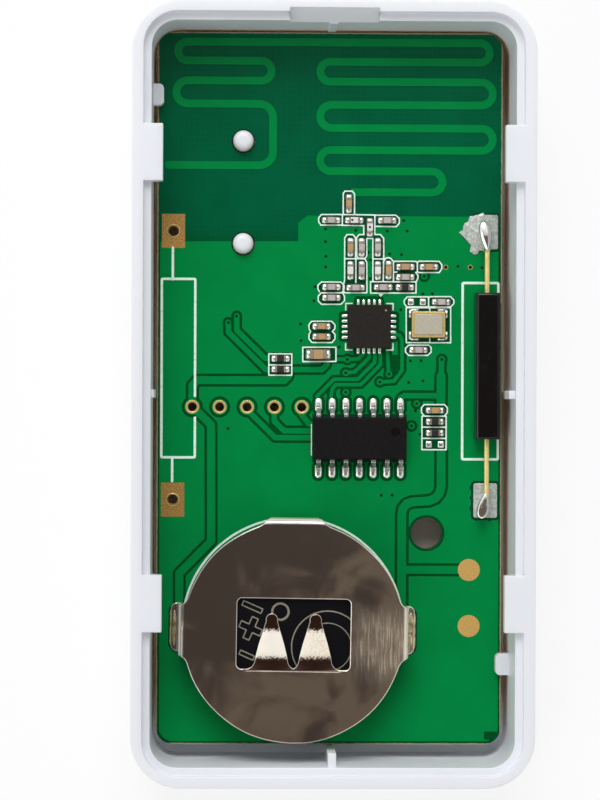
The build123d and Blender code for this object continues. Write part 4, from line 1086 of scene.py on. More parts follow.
POUR = (
    (-15.8, 13.57), (-2.94, 13.63), (-2.95, 15.33), (-2.1, 16.02), (15.65, 15.98), (15.8, -32.7),
    (-15.7, -32.75),
)
WIDE_TRACKS = (
    ((-12.7, -1.75), (-12.7, 0.24), (-12.27, 0.72), (-4.21, 0.74), (-3.84, 1.11), (-3.84, 1.72)),
    ((-12.68, -1.75), (-10.97, -3.41), (-10.92, -14.21), (-13.86, -17.19), (-13.85, -20.06)),
    ((6.8, -16.8), (12.9, -16.8)),
)
BROAD_TRACKS = (
    ((10.4, -5.87), (10.4, -9.05), (10.28, -9.65), (9.9, -10.15), (9.3, -10.4), (7.75, -10.5),
     (7.2, -10.7), (6.86, -11.1), (6.76, -11.65), (6.76, -20.16)),
    ((10.38, 1.2), (10.35, -1.42)),
)
MIDDLE_TRACKS = (
    ((10.42, 2.7), (10.38, 1.1)), ((-8.61, 6.69), (-8.61, 5.36), (-5.98, 2.77), (-5.17, 2.75)),
    ((-9.41, 6.08), (-9.37, 5.17), (-5.88, 1.71), (-5.08, 1.71)),
    ((-3.88, 1.73), (-0.69, 1.74), (-0.25, 2.2), (-0.25, 2.8)),
    ((-7.63, -1.73), (-7.63, -2.0), (-5.02, -4.58), (-1.41, -4.58)),
    ((-5.1, -1.75), (-5.1, -3.06), (-4.19, -3.95), (-1.41, -3.95)),
    ((-2.6, -1.74), (-2.6, -2.4), (-1.88, -3.3), (-1.41, -3.3)),
    ((6.6, -0.88), (6.92, -0.65), (10.35, -0.65)),
)
FINE_TRACKS = (
    ((0.3, 2.69), (2.64, 2.74), (3.25, 3.32)), ((1.51, 1.46), (2.32, 1.52), (3.66, 2.82), (3.72, 3.33)),
    ((4.2, 3.33), (4.2, 2.45), (2.65, 0.86), (0.42, 0.85), (-1.15, -0.73)),
    ((4.72, 3.33), (4.73, 2.22), (2.93, 0.36), (0.61, 0.35), (0.29, 0.02), (0.15, -0.72)),
    ((5.37, 3.52), (5.5, 1.31)),
    ((5.87, 5.05), (6.52, 4.96), (6.73, 4.5), (6.74, 1.72), (5.98, 0.69), (4.67, 0.62)),
)
VIAS = (
    (-0.42, 14.79), (-0.4, 13.61), (-0.37, 12.25), (-0.39, 11.25), (2.4, 14.66), (6.85, 15.59),
    (5.33, 14.61), (7.17, 14.62), (6.66, 12.43), (5.54, 12.49), (3.56, 12.62), (3.75, 11.94),
    (3.74, 10.2), (11.91, 11.38), (8.65, 8.79), (9.52, 8.81), (14.13, 11.24), (-1.35, 9.42),
    (-1.45, 8.12), (-2.7, 5.96), (-2.65, 4.42), (0.89, 3.82), (7.51, 2.58), (8.49, 2.59), (7.36, 0.57),
    (8.68, 0.73), (7.99, -2.06), (8.45, -4.24), (6.6, 7.32), (4.84, -9.89), (5.86, -9.88),
    (-8.64, 6.67), (-9.39, 6.06), (-9.39, -3.74),
)
RINGED_VIAS = (
    (8.78, 10.44), (10.43, 2.72), (1.53, -0.36), (1.51, 1.45), (8.12, -1.38), (7.63, -3.46),
    (1.65, 2.69), (5.53, 1.34), (4.69, 0.62),
)
OPEN_VIAS = ((10.76, 11.28), (13.04, 11.29))
# How far the copper reaches into the board, so that no gap shows, and how far it ends from the edge
SUNK = 0.005
COPPER_INSET = 0.25
# A patch without copper at the board's corner
BARE_PATCH = ((14.47, -32.54), (15.58, -31.8))
# The middle of each hole through the board, and the radius that copper keeps from it
FIXING_HOLE = (9.05, -13.4, 1.68)
POST_HOLES = ((-8.05, 22.9, 1.1), (-8.05, 13.4, 1.1))
# The spare reed switch's two pads
LOW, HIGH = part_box("spare_reed_pads")
SPARE_X = (LOW.x + HIGH.x) / 2 / MM - BOARD.x
SPARE_Y = (14.55, -10.35)
# Where the copper stops round the small chips
CLEARED = (
    ((-1.0, 15.2), (4.1, 16.05)), ((4.2, 15.12), (6.4, 16.0)), ((1.3, 16.2), (2.2, 18.25)),
    ((3.2, 14.3), (4.1, 15.3)), ((1.43, 12.1), (2.32, 14.2)), ((2.55, 12.1), (3.37, 14.2)),
    ((4.05, 9.95), (4.9, 14.2)), ((1.43, 9.0), (3.4, 12.0)), ((5.0, 9.95), (5.85, 12.0)),
    ((3.85, 8.93), (7.95, 9.85)), ((5.97, 9.95), (8.05, 11.75)), ((8.2, 10.85), (10.3, 11.75)),
    ((7.0, 7.65), (9.1, 8.47)), ((9.25, 7.65), (11.45, 8.5)), ((7.17, 4.34), (11.17, 7.45)),
    ((7.1, 3.16), (9.36, 3.98)), ((-1.04, 8.93), (1.26, 9.8)), ((-1.0, 7.87), (1.3, 8.8)),
    ((-1.85, 4.3), (0.42, 6.17)), ((-2.42, 2.55), (0.53, 3.75)), ((-5.56, 1.27), (-3.57, 3.12)),
    ((8.7, -5.6), (10.85, -1.5)), ((5.8, 1.3), (6.4, 3.15)),
)


def board_nets(look):
    """The tracks and the pads that stand clear of the pour."""
    nets = board_artwork()
    for tracks, width in (
        (WIDE_TRACKS, look.track / MM), (BROAD_TRACKS, look.track / MM + 0.08),
        (MIDDLE_TRACKS, look.track / MM - 0.22), (FINE_TRACKS, look.fine / MM),
    ):
        for points in tracks:
            nets.stroke(points, width)
    for node, grow, corner in (
        ("controller_pads", 0.05, 0.33), ("radio_pads", 0.02, 0.1), ("crystal_pads", 0.05, 0.1),
        ("chip_solder", 0.02, 0.1), ("reed_pads", 0.0, 0.1),
    ):
        nets.pads(node, grow, corner)
    nets.discs(middles_of("header_eyelets"), 0.74)
    nets.discs(RINGED_VIAS, 0.31)
    return nets


class SENSOR_OT_board(bpy.types.Operator):
    """Make the copper areas under the resist and finish the board"""

    bl_idname = "sensor.board"
    bl_label = "Circuit board"

    def execute(self, context):
        look = context.scene.sensor.board
        paint("circuit_board", "resist_on_laminate")
        nets = board_nets(look)
        pour = board_artwork()
        pour.shape(POUR)
        copper = board_artwork()
        copper.field = np.minimum(np.maximum(pour.field, look.gap / MM - nets.field), nets.field)
        holes = board_artwork()
        holes.discs((*VIAS, *RINGED_VIAS), 0.13)
        holes.discs(OPEN_VIAS, 0.17)
        for low, high in CLEARED:
            holes.block(low, high, 0.2)
        for x, y, radius in open_holes():
            holes.disc(x, y, radius)
        holes.block(*BARE_PATCH)
        copper.cut(holes)
        half_w, half_l = HALF_W - COPPER_INSET, HALF_L - COPPER_INSET
        edge = board_artwork()
        edge.block((-half_w, -half_l), (half_w, half_l), radius=1.4)
        copper.field = np.maximum(copper.field, edge.field)
        mesh = relief(copper.loops(), base=-SUNK, height=look.relief / MM + SUNK)
        make_piece("board_copper", on_board(mesh), "resist_on_copper", level=True)
        make_piece(
            "antenna_finished", softened("antenna_trace", 0.02), "resist_on_copper",
            replaced=("antenna_trace",), level=True,
        )
        return {"FINISHED"}


def open_holes():
    """Holes through the board: each hole's place, and the radius that copper keeps from it."""
    pads = [(x, y, 0.55) for x in (SPARE_X, -SPARE_X) for y in SPARE_Y]
    header = [(x, y, 0.5) for x, y in middles_of("header_eyelets")]
    return [*pads, *header, FIXING_HOLE, *POST_HOLES]


class SENSOR_OT_vias(bpy.types.Operator):
    """Sink the covered vias into the copper"""

    bl_idname = "sensor.vias"
    bl_label = "Vias"

    def execute(self, context):
        dip = ((0.18, 0.0), (0.165, 0.05), (0.13, 0.03), (0.06, 0.012), (0.0, 0.01))
        dips = [turned(dip, x, y, steps=16) for x, y in (*VIAS, *RINGED_VIAS, *OPEN_VIAS)]
        make_piece("covered_vias", on_board(joined(dips)), "resist_in_via")
        rim = ((0.17, 0.0), (0.18, 0.06), (0.22, 0.06), (0.24, 0.0))
        rims = [turned(rim, x, y, steps=16, hollow=True) for x, y in OPEN_VIAS]
        make_piece("via_rims", on_board(joined(rims)), "fresh_gold")
        return {"FINISHED"}


# What is printed: a box round each reed switch, lines, and marks at the chips
REED_BOX = ((12.34, -6.53), (15.66, 9.83))
SPARE_BOX = ((-15.56, -6.43), (-12.46, 10.1))
SPARE_LINES = (((-14.55, 13.0), (-14.55, 10.06)), ((-14.55, -6.44), (-14.55, -8.66)))
CONTROLLER_LINE = ((-1.65, -3.33), (-1.65, -6.2))
# The radio's middle, and from there to the corners printed round it
RADIO = (3.685, 5.735)
RADIO_CORNER = (2.195, 2.155)
CORNER_L = 0.6
RADIO_ARROW = ((4.45, 8.9), (5.1, 8.9), (4.72, 8.5))
# Nothing is printed past this line, this near to a hole, or under the clip's stop
PRINT_TOP = 19.0
NO_INK = 0.45
STOP_PLACE = ((CELL.x - 2.4, -13.0), (CELL.x + 2.4, -11.0))
# The rings of ink round the small chips
CHIP_OUTLINES = (
    ((1.23, 16.15), (1.22, 18.1), (1.38, 18.3), (2.07, 18.3), (2.27, 18.05), (2.27, 16.15)),
    ((1.14, 16.13), (-0.8, 16.12), (-1.05, 15.82), (-1.05, 15.45), (-0.85, 15.14), (1.15, 15.15),
     (1.14, 16.13)),
    ((1.14, 16.13), (4.16, 16.1), (4.16, 14.29), (4.69, 14.29), (4.99, 13.92), (5.0, 12.09),
     (4.96, 9.92)),
    ((1.15, 15.13), (3.14, 15.11), (3.14, 14.34)),
    ((4.16, 16.08), (6.1, 16.09), (6.43, 15.8), (6.43, 15.34), (6.15, 15.03), (4.16, 15.05)),
    ((1.37, 12.08), (1.37, 13.97), (1.59, 14.27), (2.14, 14.27), (2.37, 13.98), (2.38, 12.08)),
    ((2.48, 13.98), (2.7, 14.28), (3.18, 14.28)),
    ((3.98, 13.92), (3.42, 13.92), (3.43, 12.31), (3.29, 12.09), (2.64, 12.09), (2.49, 12.31),
     (2.48, 13.98)),
    ((3.98, 13.92), (4.0, 9.92)),
    ((1.37, 12.04), (1.38, 10.03), (1.26, 9.62), (1.26, 9.06), (1.41, 8.87), (3.45, 8.88),
     (3.43, 11.71), (3.25, 12.04), (1.37, 12.04)),
    ((2.41, 12.04), (2.42, 9.83)), ((3.99, 12.03), (4.96, 12.03)), ((5.9, 10.81), (6.22, 10.82)),
    ((4.95, 11.72), (5.15, 12.07), (5.42, 12.16), (5.7, 12.05), (5.9, 11.81), (5.91, 9.92)),
    ((5.9, 11.81), (7.96, 11.82), (8.12, 11.69), (8.13, 10.85), (7.97, 10.79), (8.18, 10.53),
     (8.18, 10.25), (8.01, 9.92)),
    ((8.01, 9.92), (8.01, 8.88), (3.79, 8.86), (3.78, 9.91), (8.01, 9.92)),
    ((8.12, 11.69), (8.25, 11.83), (10.15, 11.83), (10.39, 11.51), (10.39, 11.14), (10.16, 10.79),
     (8.26, 10.78), (8.13, 10.85)),
    ((9.17, 8.53), (7.2, 8.52), (6.91, 8.2), (6.92, 7.88), (7.16, 7.59), (9.18, 7.6), (9.17, 8.53)),
    ((9.18, 8.4), (9.33, 8.55), (11.23, 8.56), (11.53, 8.23), (11.53, 7.93), (11.24, 7.61),
     (9.18, 7.6)),
    ((7.1, 7.51), (11.23, 7.53), (11.24, 4.28), (7.12, 4.27), (7.1, 7.51)), ((9.3, 4.28), (9.3, 4.79)),
    ((9.29, 7.2), (9.29, 7.52)),
    ((9.21, 4.05), (7.36, 4.05), (7.05, 3.76), (7.05, 3.39), (7.36, 3.09), (9.12, 3.1), (9.43, 3.4),
     (9.43, 3.81), (9.31, 3.95)),
    ((-0.96, 8.96), (-1.1, 9.24), (-1.1, 9.56), (-0.78, 9.87), (1.03, 9.87), (1.33, 9.55), (1.33, 9.2),
     (1.13, 8.87)),
    ((-0.82, 8.86), (1.27, 8.87)),
    ((-0.82, 8.84), (-1.07, 8.54), (-1.06, 8.12), (-0.77, 7.8), (1.04, 7.81), (1.37, 8.13),
     (1.37, 8.55), (1.22, 8.83)),
    ((-1.69, 6.22), (-1.92, 5.9), (-1.91, 5.52), (-1.76, 5.27), (-1.91, 5.01), (-1.91, 4.6),
     (-1.63, 4.25), (0.22, 4.25), (0.5, 4.61), (0.5, 5.03), (0.25, 5.27), (0.49, 5.54), (0.49, 5.91),
     (0.17, 6.23), (-1.69, 6.22)),
    ((-2.48, 3.81), (0.59, 3.82), (0.6, 2.5), (-2.48, 2.48), (-2.48, 3.81)),
    ((-5.63, 1.21), (-3.5, 1.21), (-3.5, 3.19), (-5.63, 3.19), (-5.63, 1.21)),
    ((-5.63, 2.16), (-3.5, 2.16)),
    ((8.8, -2.5), (8.55, -2.2), (8.55, -1.75), (8.8, -1.47), (10.7, -1.47), (10.95, -1.75),
     (10.95, -2.2), (10.7, -2.5)),
    ((8.6, -2.54), (10.85, -2.54), (10.85, -5.65), (8.6, -5.65), (8.6, -2.54)),
    ((8.6, -3.56), (10.85, -3.56)), ((8.6, -4.6), (10.85, -4.6)),
)


class SENSOR_OT_printing(bpy.types.Operator):
    """Print the outlines on the board"""

    bl_idname = "sensor.printing"
    bl_label = "Printed outlines"

    def execute(self, context):
        look = context.scene.sensor.board
        line = look.line / MM
        broad = look.broad / MM
        ink, bare = (Artwork(DETAIL_STEP, (-HALF_W, -HALF_L), (HALF_W, PRINT_TOP)) for _ in range(2))
        for box in (REED_BOX, SPARE_BOX):
            ink.block(*box, 0.1, broad)
        for points in SPARE_LINES:
            ink.stroke(points, broad)
        ink.ring(CELL.x, CELL.y, CELL_R + 0.25, 0.2)
        ink.stroke(CONTROLLER_LINE, 0.09)
        for points in CHIP_OUTLINES:
            ink.stroke(points, line)
        for side, end in ((1, 1), (-1, 1), (1, -1), (-1, -1)):
            x, y = RADIO[0] + RADIO_CORNER[0] * side, RADIO[1] + RADIO_CORNER[1] * end
            ink.stroke(((x, y), (x - CORNER_L * side, y)), line)
            ink.stroke(((x, y), (x, y - CORNER_L * end)), line)
        ink.shape(RADIO_ARROW)
        for x, y, radius in open_holes():
            bare.disc(x, y, radius + NO_INK)
        bare.block(*STOP_PLACE)
        ink.cut(bare)
        mesh = relief(ink.loops(), base=0.0, height=look.relief / MM + 0.016, rounding=0.006)
        make_piece("printed_outlines", on_board(mesh), "printed_ink", level=True)
        return {"FINISHED"}


# Radius and height round the header's plated holes, and round the spare pads' holes
EYELET = (
    (0.36, -1.2), (0.4, -0.4), (0.43, -0.01), (0.445, 0.03), (0.48, 0.05), (0.54, 0.045), (0.6, 0.05),
    (0.66, 0.04), (0.69, 0.0), (0.5, -0.02), (0.5, -1.2),
)
PAD_RIM = (
    (0.4, -0.7), (0.5, -0.05), (0.515, 0.1), (0.56, 0.14), (0.6, 0.12), (0.64, 0.04), (0.53, -0.7),
)


class SENSOR_OT_pads(bpy.types.Operator):
    """Finish the plated pads and eyelets"""

    bl_idname = "sensor.pads"
    bl_label = "Pads and eyelets"

    def execute(self, context):
        for node in ("spare_reed_pads", "reed_pads", "battery_minus_pad"):
            paint(node, "immersion_gold")
        # Painted light: the test pads get a paler gold, as they catch more light
        paint("test_pads", "fresh_gold")
        paint("radio_paddle", "reflowed_solder")
        make_piece(
            "empty_pads_tinned", mounds("empty_pads", height=0.11, corner=0.35), "reflowed_solder",
            replaced=("empty_pads",),
        )
        rims = [turned(PAD_RIM, SPARE_X, y, steps=36, hollow=True) for y in SPARE_Y]
        make_piece("spare_pad_rims", on_board(joined(rims)), "plated_ring")
        eyelets = [
            turned(EYELET, x, y, steps=36, hollow=True) for x, y in middles_of("header_eyelets")
        ]
        make_piece(
            "header_eyelets_rounded", on_board(joined(eyelets)), "plated_ring",
            replaced=("header_eyelets",),
        )
        return {"FINISHED"}


LOW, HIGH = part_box("reed_switch_body")
REED = (LOW + HIGH) / 2 / MM - BOARD
# The outline of the frosted solder that ran past the far pad
SPLASH = (
    (11.95, 14.53), (12.3, 14.75), (12.45, 15.35), (12.8, 15.5), (12.96, 16.02), (13.6, 16.1),
    (14.26, 16.39), (14.4, 15.95), (15.46, 15.93), (15.52, 14.6), (15.47, 13.25), (14.64, 12.69),
    (13.9, 12.85), (13.72, 12.5), (13.4, 12.45), (12.97, 12.77), (13.1, 13.3), (12.6, 13.9),
)


# Drops of flux round the two pads: place and radius
REED_FLUX = (
    (13.35, -9.2, 0.3), (13.3, -10.1, 0.25), (13.32, -11.1, 0.3), (13.7, -12.0, 0.25),
    (14.9, -12.05, 0.25), (13.4, 15.9, 0.25), (14.6, 12.45, 0.3), (15.5, 14.0, 0.3),
)


def lumpy(mesh, amount):
    """Raise and sink a mesh's points a little, the same way each time."""
    for vertex in mesh.vertices:
        x, y, _ = vertex.co
        wave = math.sin(5.1 * x + 1.3 * y) + math.sin(4.3 * y - 2.1 * x + 1.0)
        vertex.co.z += amount * wave / 2
    return mesh


class SENSOR_OT_reed_switch(bpy.types.Operator):
    """Finish the reed switch, its leads and its solder"""

    bl_idname = "sensor.reed_switch"
    bl_label = "Reed switch"

    def execute(self, context):
        round_off("reed_switch_body", "polished_epoxy", 0.04)
        paint("reed_glass", "drawn_glass")
        for node in ("reed_fixed_blade", "reed_moving_lead", "reed_moving_blade"):
            paint(node, "gold_plated_wire")
        skin = Artwork(DETAIL_STEP, (11.0, -13.0), (16.0, 17.0))
        skin.shape(SPLASH)
        skin.pads("reed_pads", grow=0.03, radius=0.2)
        mesh = lumpy(relief(skin.loops(), base=0.03, height=0.13, rounding=0.05, steps=2), 0.03)
        make_piece(
            "reed_solder_skin", on_board(mesh), "hand_solder", replaced=("reed_solder",),
        )
        # A dark film round the pads: set flux, and painted shadow beside the solder
        film = Artwork(DETAIL_STEP, (11.0, -13.0), (15.98, 17.0))
        film.pads("reed_pads", grow=(0.2, 0.16), radius=0.15, beyond=(0.12, 0.2))
        for x, y, radius in REED_FLUX:
            film.disc(x, y, radius)
        flux("reed_flux", film, height=0.06, rounding=0.01)
        domes = [
            bead(
                REED.x - 0.34, 14.1, half_w=0.54, half_l=1.42, base=0.1, height=1.74, wall=1.4,
                lean=-0.4, skew=0.3, steps=32,
            ),
            bead(
                REED.x - 0.45, -10.8, half_w=0.5, half_l=1.16, base=0.1, height=1.5, wall=1.38,
                lean=0.35, skew=0.36, steps=32,
            ),
        ]
        make_piece("reed_solder_domes", on_board(joined(domes)), "bright_solder")
        return {"FINISHED"}


# The controller's pin mark, the radio's pin mark and the crystal's middle
CONTROLLER_DIMPLE = (6.075, -4.0)
RADIO_MARK = (5.17, 7.24)
CRYSTAL = (9.15, 5.95)


class SENSOR_OT_controller(bpy.types.Operator):
    """Finish the controller chip, its leads and their solder"""

    bl_idname = "sensor.controller"
    bl_label = "Controller chip"

    def execute(self, context):
        round_off("controller_body", "moulded_epoxy", 0.06)
        round_off("controller_leads", "matt_tin_plate", 0.04)
        make_piece(
            "controller_solder", mounds("controller_pads", height=0.2, corner=1.0, grow=0.04),
            "reflowed_solder", replaced=("controller_pads",),
        )
        dimple = turned(((0.4, 1.5), (0.4, 1.532), (0.0, 1.534)), *CONTROLLER_DIMPLE, steps=32)
        make_piece("controller_dimple", on_board(dimple), "polished_epoxy")
        # Painted shadow: a dark film round the body, between its leads
        film = Artwork(DETAIL_STEP, (-2.5, -7.5), (8.0, -1.5))
        film.pads("controller_body", grow=(0.06, 0.3), radius=0.05)
        flux("controller_flux", film, height=0.055, rounding=0.006)
        return {"FINISHED"}


class SENSOR_OT_radio(bpy.types.Operator):
    """Finish the radio chip, its pads and the crystal beside it"""

    bl_idname = "sensor.radio"
    bl_label = "Radio chip and crystal"

    def execute(self, context):
        round_off("radio_body", "blasted_epoxy", 0.05)
        mark = turned(((0.1, 0.8), (0.1, 0.858), (0.0, 0.86)), *RADIO_MARK, steps=16)
        make_piece("radio_pin_mark", on_board(mark), "stamped_line")
        make_piece(
            "radio_joints", mounds("radio_pads", height=0.13, corner=0.95), "reflowed_solder",
            replaced=("radio_pads",),
        )
        # Partly painted shade: a dark brown base, so its rim past the gold ring reads as shade
        round_off("crystal_base", "fired_brown_ceramic", 0.05)
        low, high = solids_of("crystal_ring")[0]
        ring, hole = (Artwork(0.03, low[:2] - 0.1, high[:2] + 0.1) for _ in range(2))
        ring.pads("crystal_ring", grow=0.08, radius=0.12)
        hole.pads("crystal_lid", grow=-0.05, radius=0.1)
        ring.cut(hole)
        tall = high[2] - low[2] + 0.02
        mesh = relief(ring.loops(), base=low[2], height=tall, rounding=0.045, steps=2)
        make_piece(
            "crystal_ring_plated", on_board(mesh), "plated_ring", replaced=("crystal_ring",),
        )
        round_off("crystal_lid", "blasted_lid", 0.03)
        joints = []
        for x, y in middles_of("crystal_pads"):
            # One joint at the side and one at the end of each corner
            side = CRYSTAL[0] + math.copysign(1.68, x - CRYSTAL[0])
            end = CRYSTAL[1] + math.copysign(1.34, y - CRYSTAL[1])
            joints.append(bead(side, y, half_w=0.15, half_l=0.42, base=0.0, height=0.3, corner=0.1))
            joints.append(bead(x, end, half_w=0.42, half_l=0.13, base=0.0, height=0.25, corner=0.1))
        make_piece(
            "crystal_solder", on_board(joined(joints)), "reflowed_solder",
            replaced=("crystal_pads",),
        )
        return {"FINISHED"}


def chips_of(node):
    """Each small chip of a node: its middle, half length, half width, top and turn on the board."""
    ends = [*solids_of("chip_end_caps"), *solids_of("large_end_caps")]
    chips = []
    for low, high in solids_of(node):
        middle = (low + high) / 2
        near = np.array([
            box for box in ends if np.hypot(*((box[0] + box[1]) / 2 - middle)[:2]) < 0.85
        ]).reshape(-1, 3)
        span = (near.max(0) - near.min(0)) / 2
        turn = 0 if span[0] > span[1] else 90
        chips.append((middle[:2], max(span[:2]), min(span[:2]), high[2], turn))
    return chips


# Each kind of small chip: finish, slot and the length of its end caps
CHIP_FINISHES = {
    "tan_capacitors": ("fired_tan_ceramic", "tan_ceramic", 0.2),
    "grey_capacitors": ("fired_grey_ceramic", "grey_ceramic", 0.2),
    "large_capacitor": ("fired_tan_ceramic", "tan_ceramic", 0.36),
    "chip_inductors": ("fired_white_ceramic", "white_ceramic", 0.18),
    "chip_resistors": ("resistor_glaze", "black_glaze", 0.22),
}
INDUCTOR_DOTS = ((2.05, 15.6), (3.68, 14.95))
# How far the dark film round each small chip, painted shadow and set flux, reaches past its ends and
# sides
SHADOW_FILM_PAST_END = 0.46
SHADOW_FILM_PAST_SIDE = 0.14


class SENSOR_OT_chips(bpy.types.Operator):
    """Finish the small capacitors, inductors and resistors with their end caps and solder"""

    bl_idname = "sensor.chips"
    bl_label = "Small chips"

    def execute(self, context):
        caps, joints = [], []
        film = Artwork(DETAIL_STEP, (-6.0, -5.5), (12.0, 18.5))
        for node, (finish, slot, cap) in CHIP_FINISHES.items():
            bodies = []
            for (x, y), half_l, half_w, top, turn in chips_of(node):
                place = Matrix.Translation((x, y, 0)) @ Matrix.Rotation(math.radians(turn), 4, "Z")
                inner = half_l - cap
                body = rounded_block((-inner, 0.01 - half_w, 0.07), (inner, half_w - 0.01, top), 0.03)
                body.transform(place)
                bodies.append(body)
                for side in (-1, 1):
                    low, high = sorted((side * inner, side * half_l))
                    end = rounded_block((low, -half_w, 0.05), (high, half_w, top + 0.02), 0.05)
                    joint = bead(
                        side * (half_l + 0.02), 0, half_w=0.34, half_l=half_w + 0.03, base=0.0,
                        height=top / 2, corner=0.17,
                    )
                    for mesh, group in ((end, caps), (joint, joints)):
                        mesh.transform(place)
                        group.append(mesh)
                reach_x, reach_y = half_l + SHADOW_FILM_PAST_END, half_w + SHADOW_FILM_PAST_SIDE
                if turn:
                    reach_x, reach_y = reach_y, reach_x
                film.block((x - reach_x, y - reach_y), (x + reach_x, y + reach_y), 0.15)
            make_piece(node + "_finished", on_board(joined(bodies)), finish, replaced=(node,))
        make_piece(
            "end_caps_plated", on_board(joined(caps)), "plated_cap",
            replaced=("chip_end_caps", "large_end_caps"),
        )
        make_piece(
            "chip_joints", on_board(joined(joints)), "reflowed_solder",
            replaced=("chip_solder", "large_solder"),
        )
        # Painted shadow and set flux: a dark film round the chips
        flux("chip_flux", film, height=0.035, rounding=0.005)
        dot = ((0.11, 0.48), (0.11, 0.5), (0.1, 0.503))
        dots = [turned(dot, x, y, steps=20) for x, y in INDUCTOR_DOTS]
        make_piece("inductor_dots", on_board(joined(dots)), "resistor_glaze")
        return {"FINISHED"}


# The battery clip, in millimetres from the cell's middle

# Its turn on the board in degrees, its radius, and the sheet's thickness and height
CLIP_TURN = -0.8
CLIP_R = CELL_R + 0.15
SHEET = 0.25
PLATE_Z = 3.775
# The bends' radius, and how far out the ears and the stop bend down
BEND_R = 0.4
EAR_BEND = 9.975
EAR_W = 4.5
LEG_L = 2.8
FOOT_L = 0.52
STOP_BEND = 9.805
STOP_L = 2.225
# The window, and the two fingers in it: half of each one's outline, from root to tip
WINDOW = ((-5.175, -3.4), (5.175, 3.05))
FINGER_X = 2.0
FINGER_SIDE = ((1.75, -4.4), (1.62, -3.3), (1.43, -2.18), (1.17, -1.14), (0.76, 0.17), (0.58, 0.8))
FINGER = (*((-x, y) for x, y in FINGER_SIDE), *reversed(FINGER_SIDE))
# Along the fingers: how far they dip
FINGER_LINE = (
    (-3.6, 0), (-3.25, -0.012), (-2.45, -0.04), (-2.0, -0.08), (0.05, -0.34), (0.35, -0.35), (1.7, -0.25),
)
FINGERS_HALF_W = 4.4
CREASE = -3.57
CREASE_HALF_W = 0.05
ARC = BEND_R * math.pi / 2
# The solder along a foot, from end to end, and how far the dark film of painted shadow reaches round it
JOINT_ENDS = (-2.18, 2.03)
SHADOW_FILM_RIM = 0.14


def blend_min(a, b, reach):
    """The smaller of two distances, rounded where they meet."""
    near = np.maximum(reach - abs(a - b), 0) / reach
    return np.minimum(a, b) - near * near * reach / 4


def clip_sheet():
    """The clip's flat blank: plate with window and fingers, and its legs and stop still straight."""
    ear = EAR_BEND + 2 * ARC + LEG_L + FOOT_L
    sheet = Artwork(DETAIL_STEP, (-ear, -CLIP_R), (ear, STOP_BEND + ARC + STOP_L))
    x, y = sheet.xs[None, :], sheet.ys[:, None]
    around = np.arctan2(y, x)
    # The blanked edge wanders by a few hundredths
    plate = np.hypot(x, y) - CLIP_R + 0.03 * np.sin(7 * around + 1) * np.sin(3 * around)
    ears = block_distance(x, y, (-ear, -EAR_W / 2), (ear, EAR_W / 2), 0.6)
    stop = block_distance(x, y, (-EAR_W / 2, 0), (EAR_W / 2, STOP_BEND + ARC + STOP_L), 0.1)
    blank = blend_min(blend_min(plate, ears, 0.9), stop, 1.3)
    fingers = np.full(blank.shape, FAR)
    for side in (-1, 1):
        bar = shape_distance(x, y, [(side * FINGER_X + fx, fy) for fx, fy in FINGER])
        tip = np.hypot(x - side * FINGER_X, y - 1.1) - 0.56
        fingers = np.minimum(fingers, blend_min(bar, tip, 0.2))
    window = block_distance(x, y, *WINDOW, 0.45)
    hole = -blend_min(-window, fingers, 0.8)
    sheet.field = np.maximum(blank, -hole)
    return sheet


def bent(distance, offset, legs):
    """Where a point of the sheet goes, past a bend: outward and down, with its offset from mid sheet."""
    if distance < ARC:
        angle = distance / BEND_R
        return (BEND_R + offset) * math.sin(angle), (BEND_R + offset) * math.cos(angle) - BEND_R
    distance -= ARC
    if not legs or distance < LEG_L:
        return BEND_R + offset, -BEND_R - distance
    distance -= LEG_L
    angle = min(distance / BEND_R, math.pi / 2)
    rest = max(distance - ARC, 0)
    inner = BEND_R - offset
    return 2 * BEND_R - inner * math.cos(angle) + rest, -BEND_R - LEG_L - inner * math.sin(angle)


def finger_drop(x, y):
    """How far the fingers dip below the plate, past the crease at their foot."""
    heights = np.interp(y + np.array((-0.12, -0.04, 0.04, 0.12)), *np.array(FINGER_LINE).T)
    crease = np.interp(y, (CREASE - CREASE_HALF_W, CREASE + CREASE_HALF_W), (0, 0.02))
    fade = np.interp(abs(x), (FINGERS_HALF_W - 0.25, FINGERS_HALF_W), (1, 0))
    return float(np.mean(heights) - crease * fade)


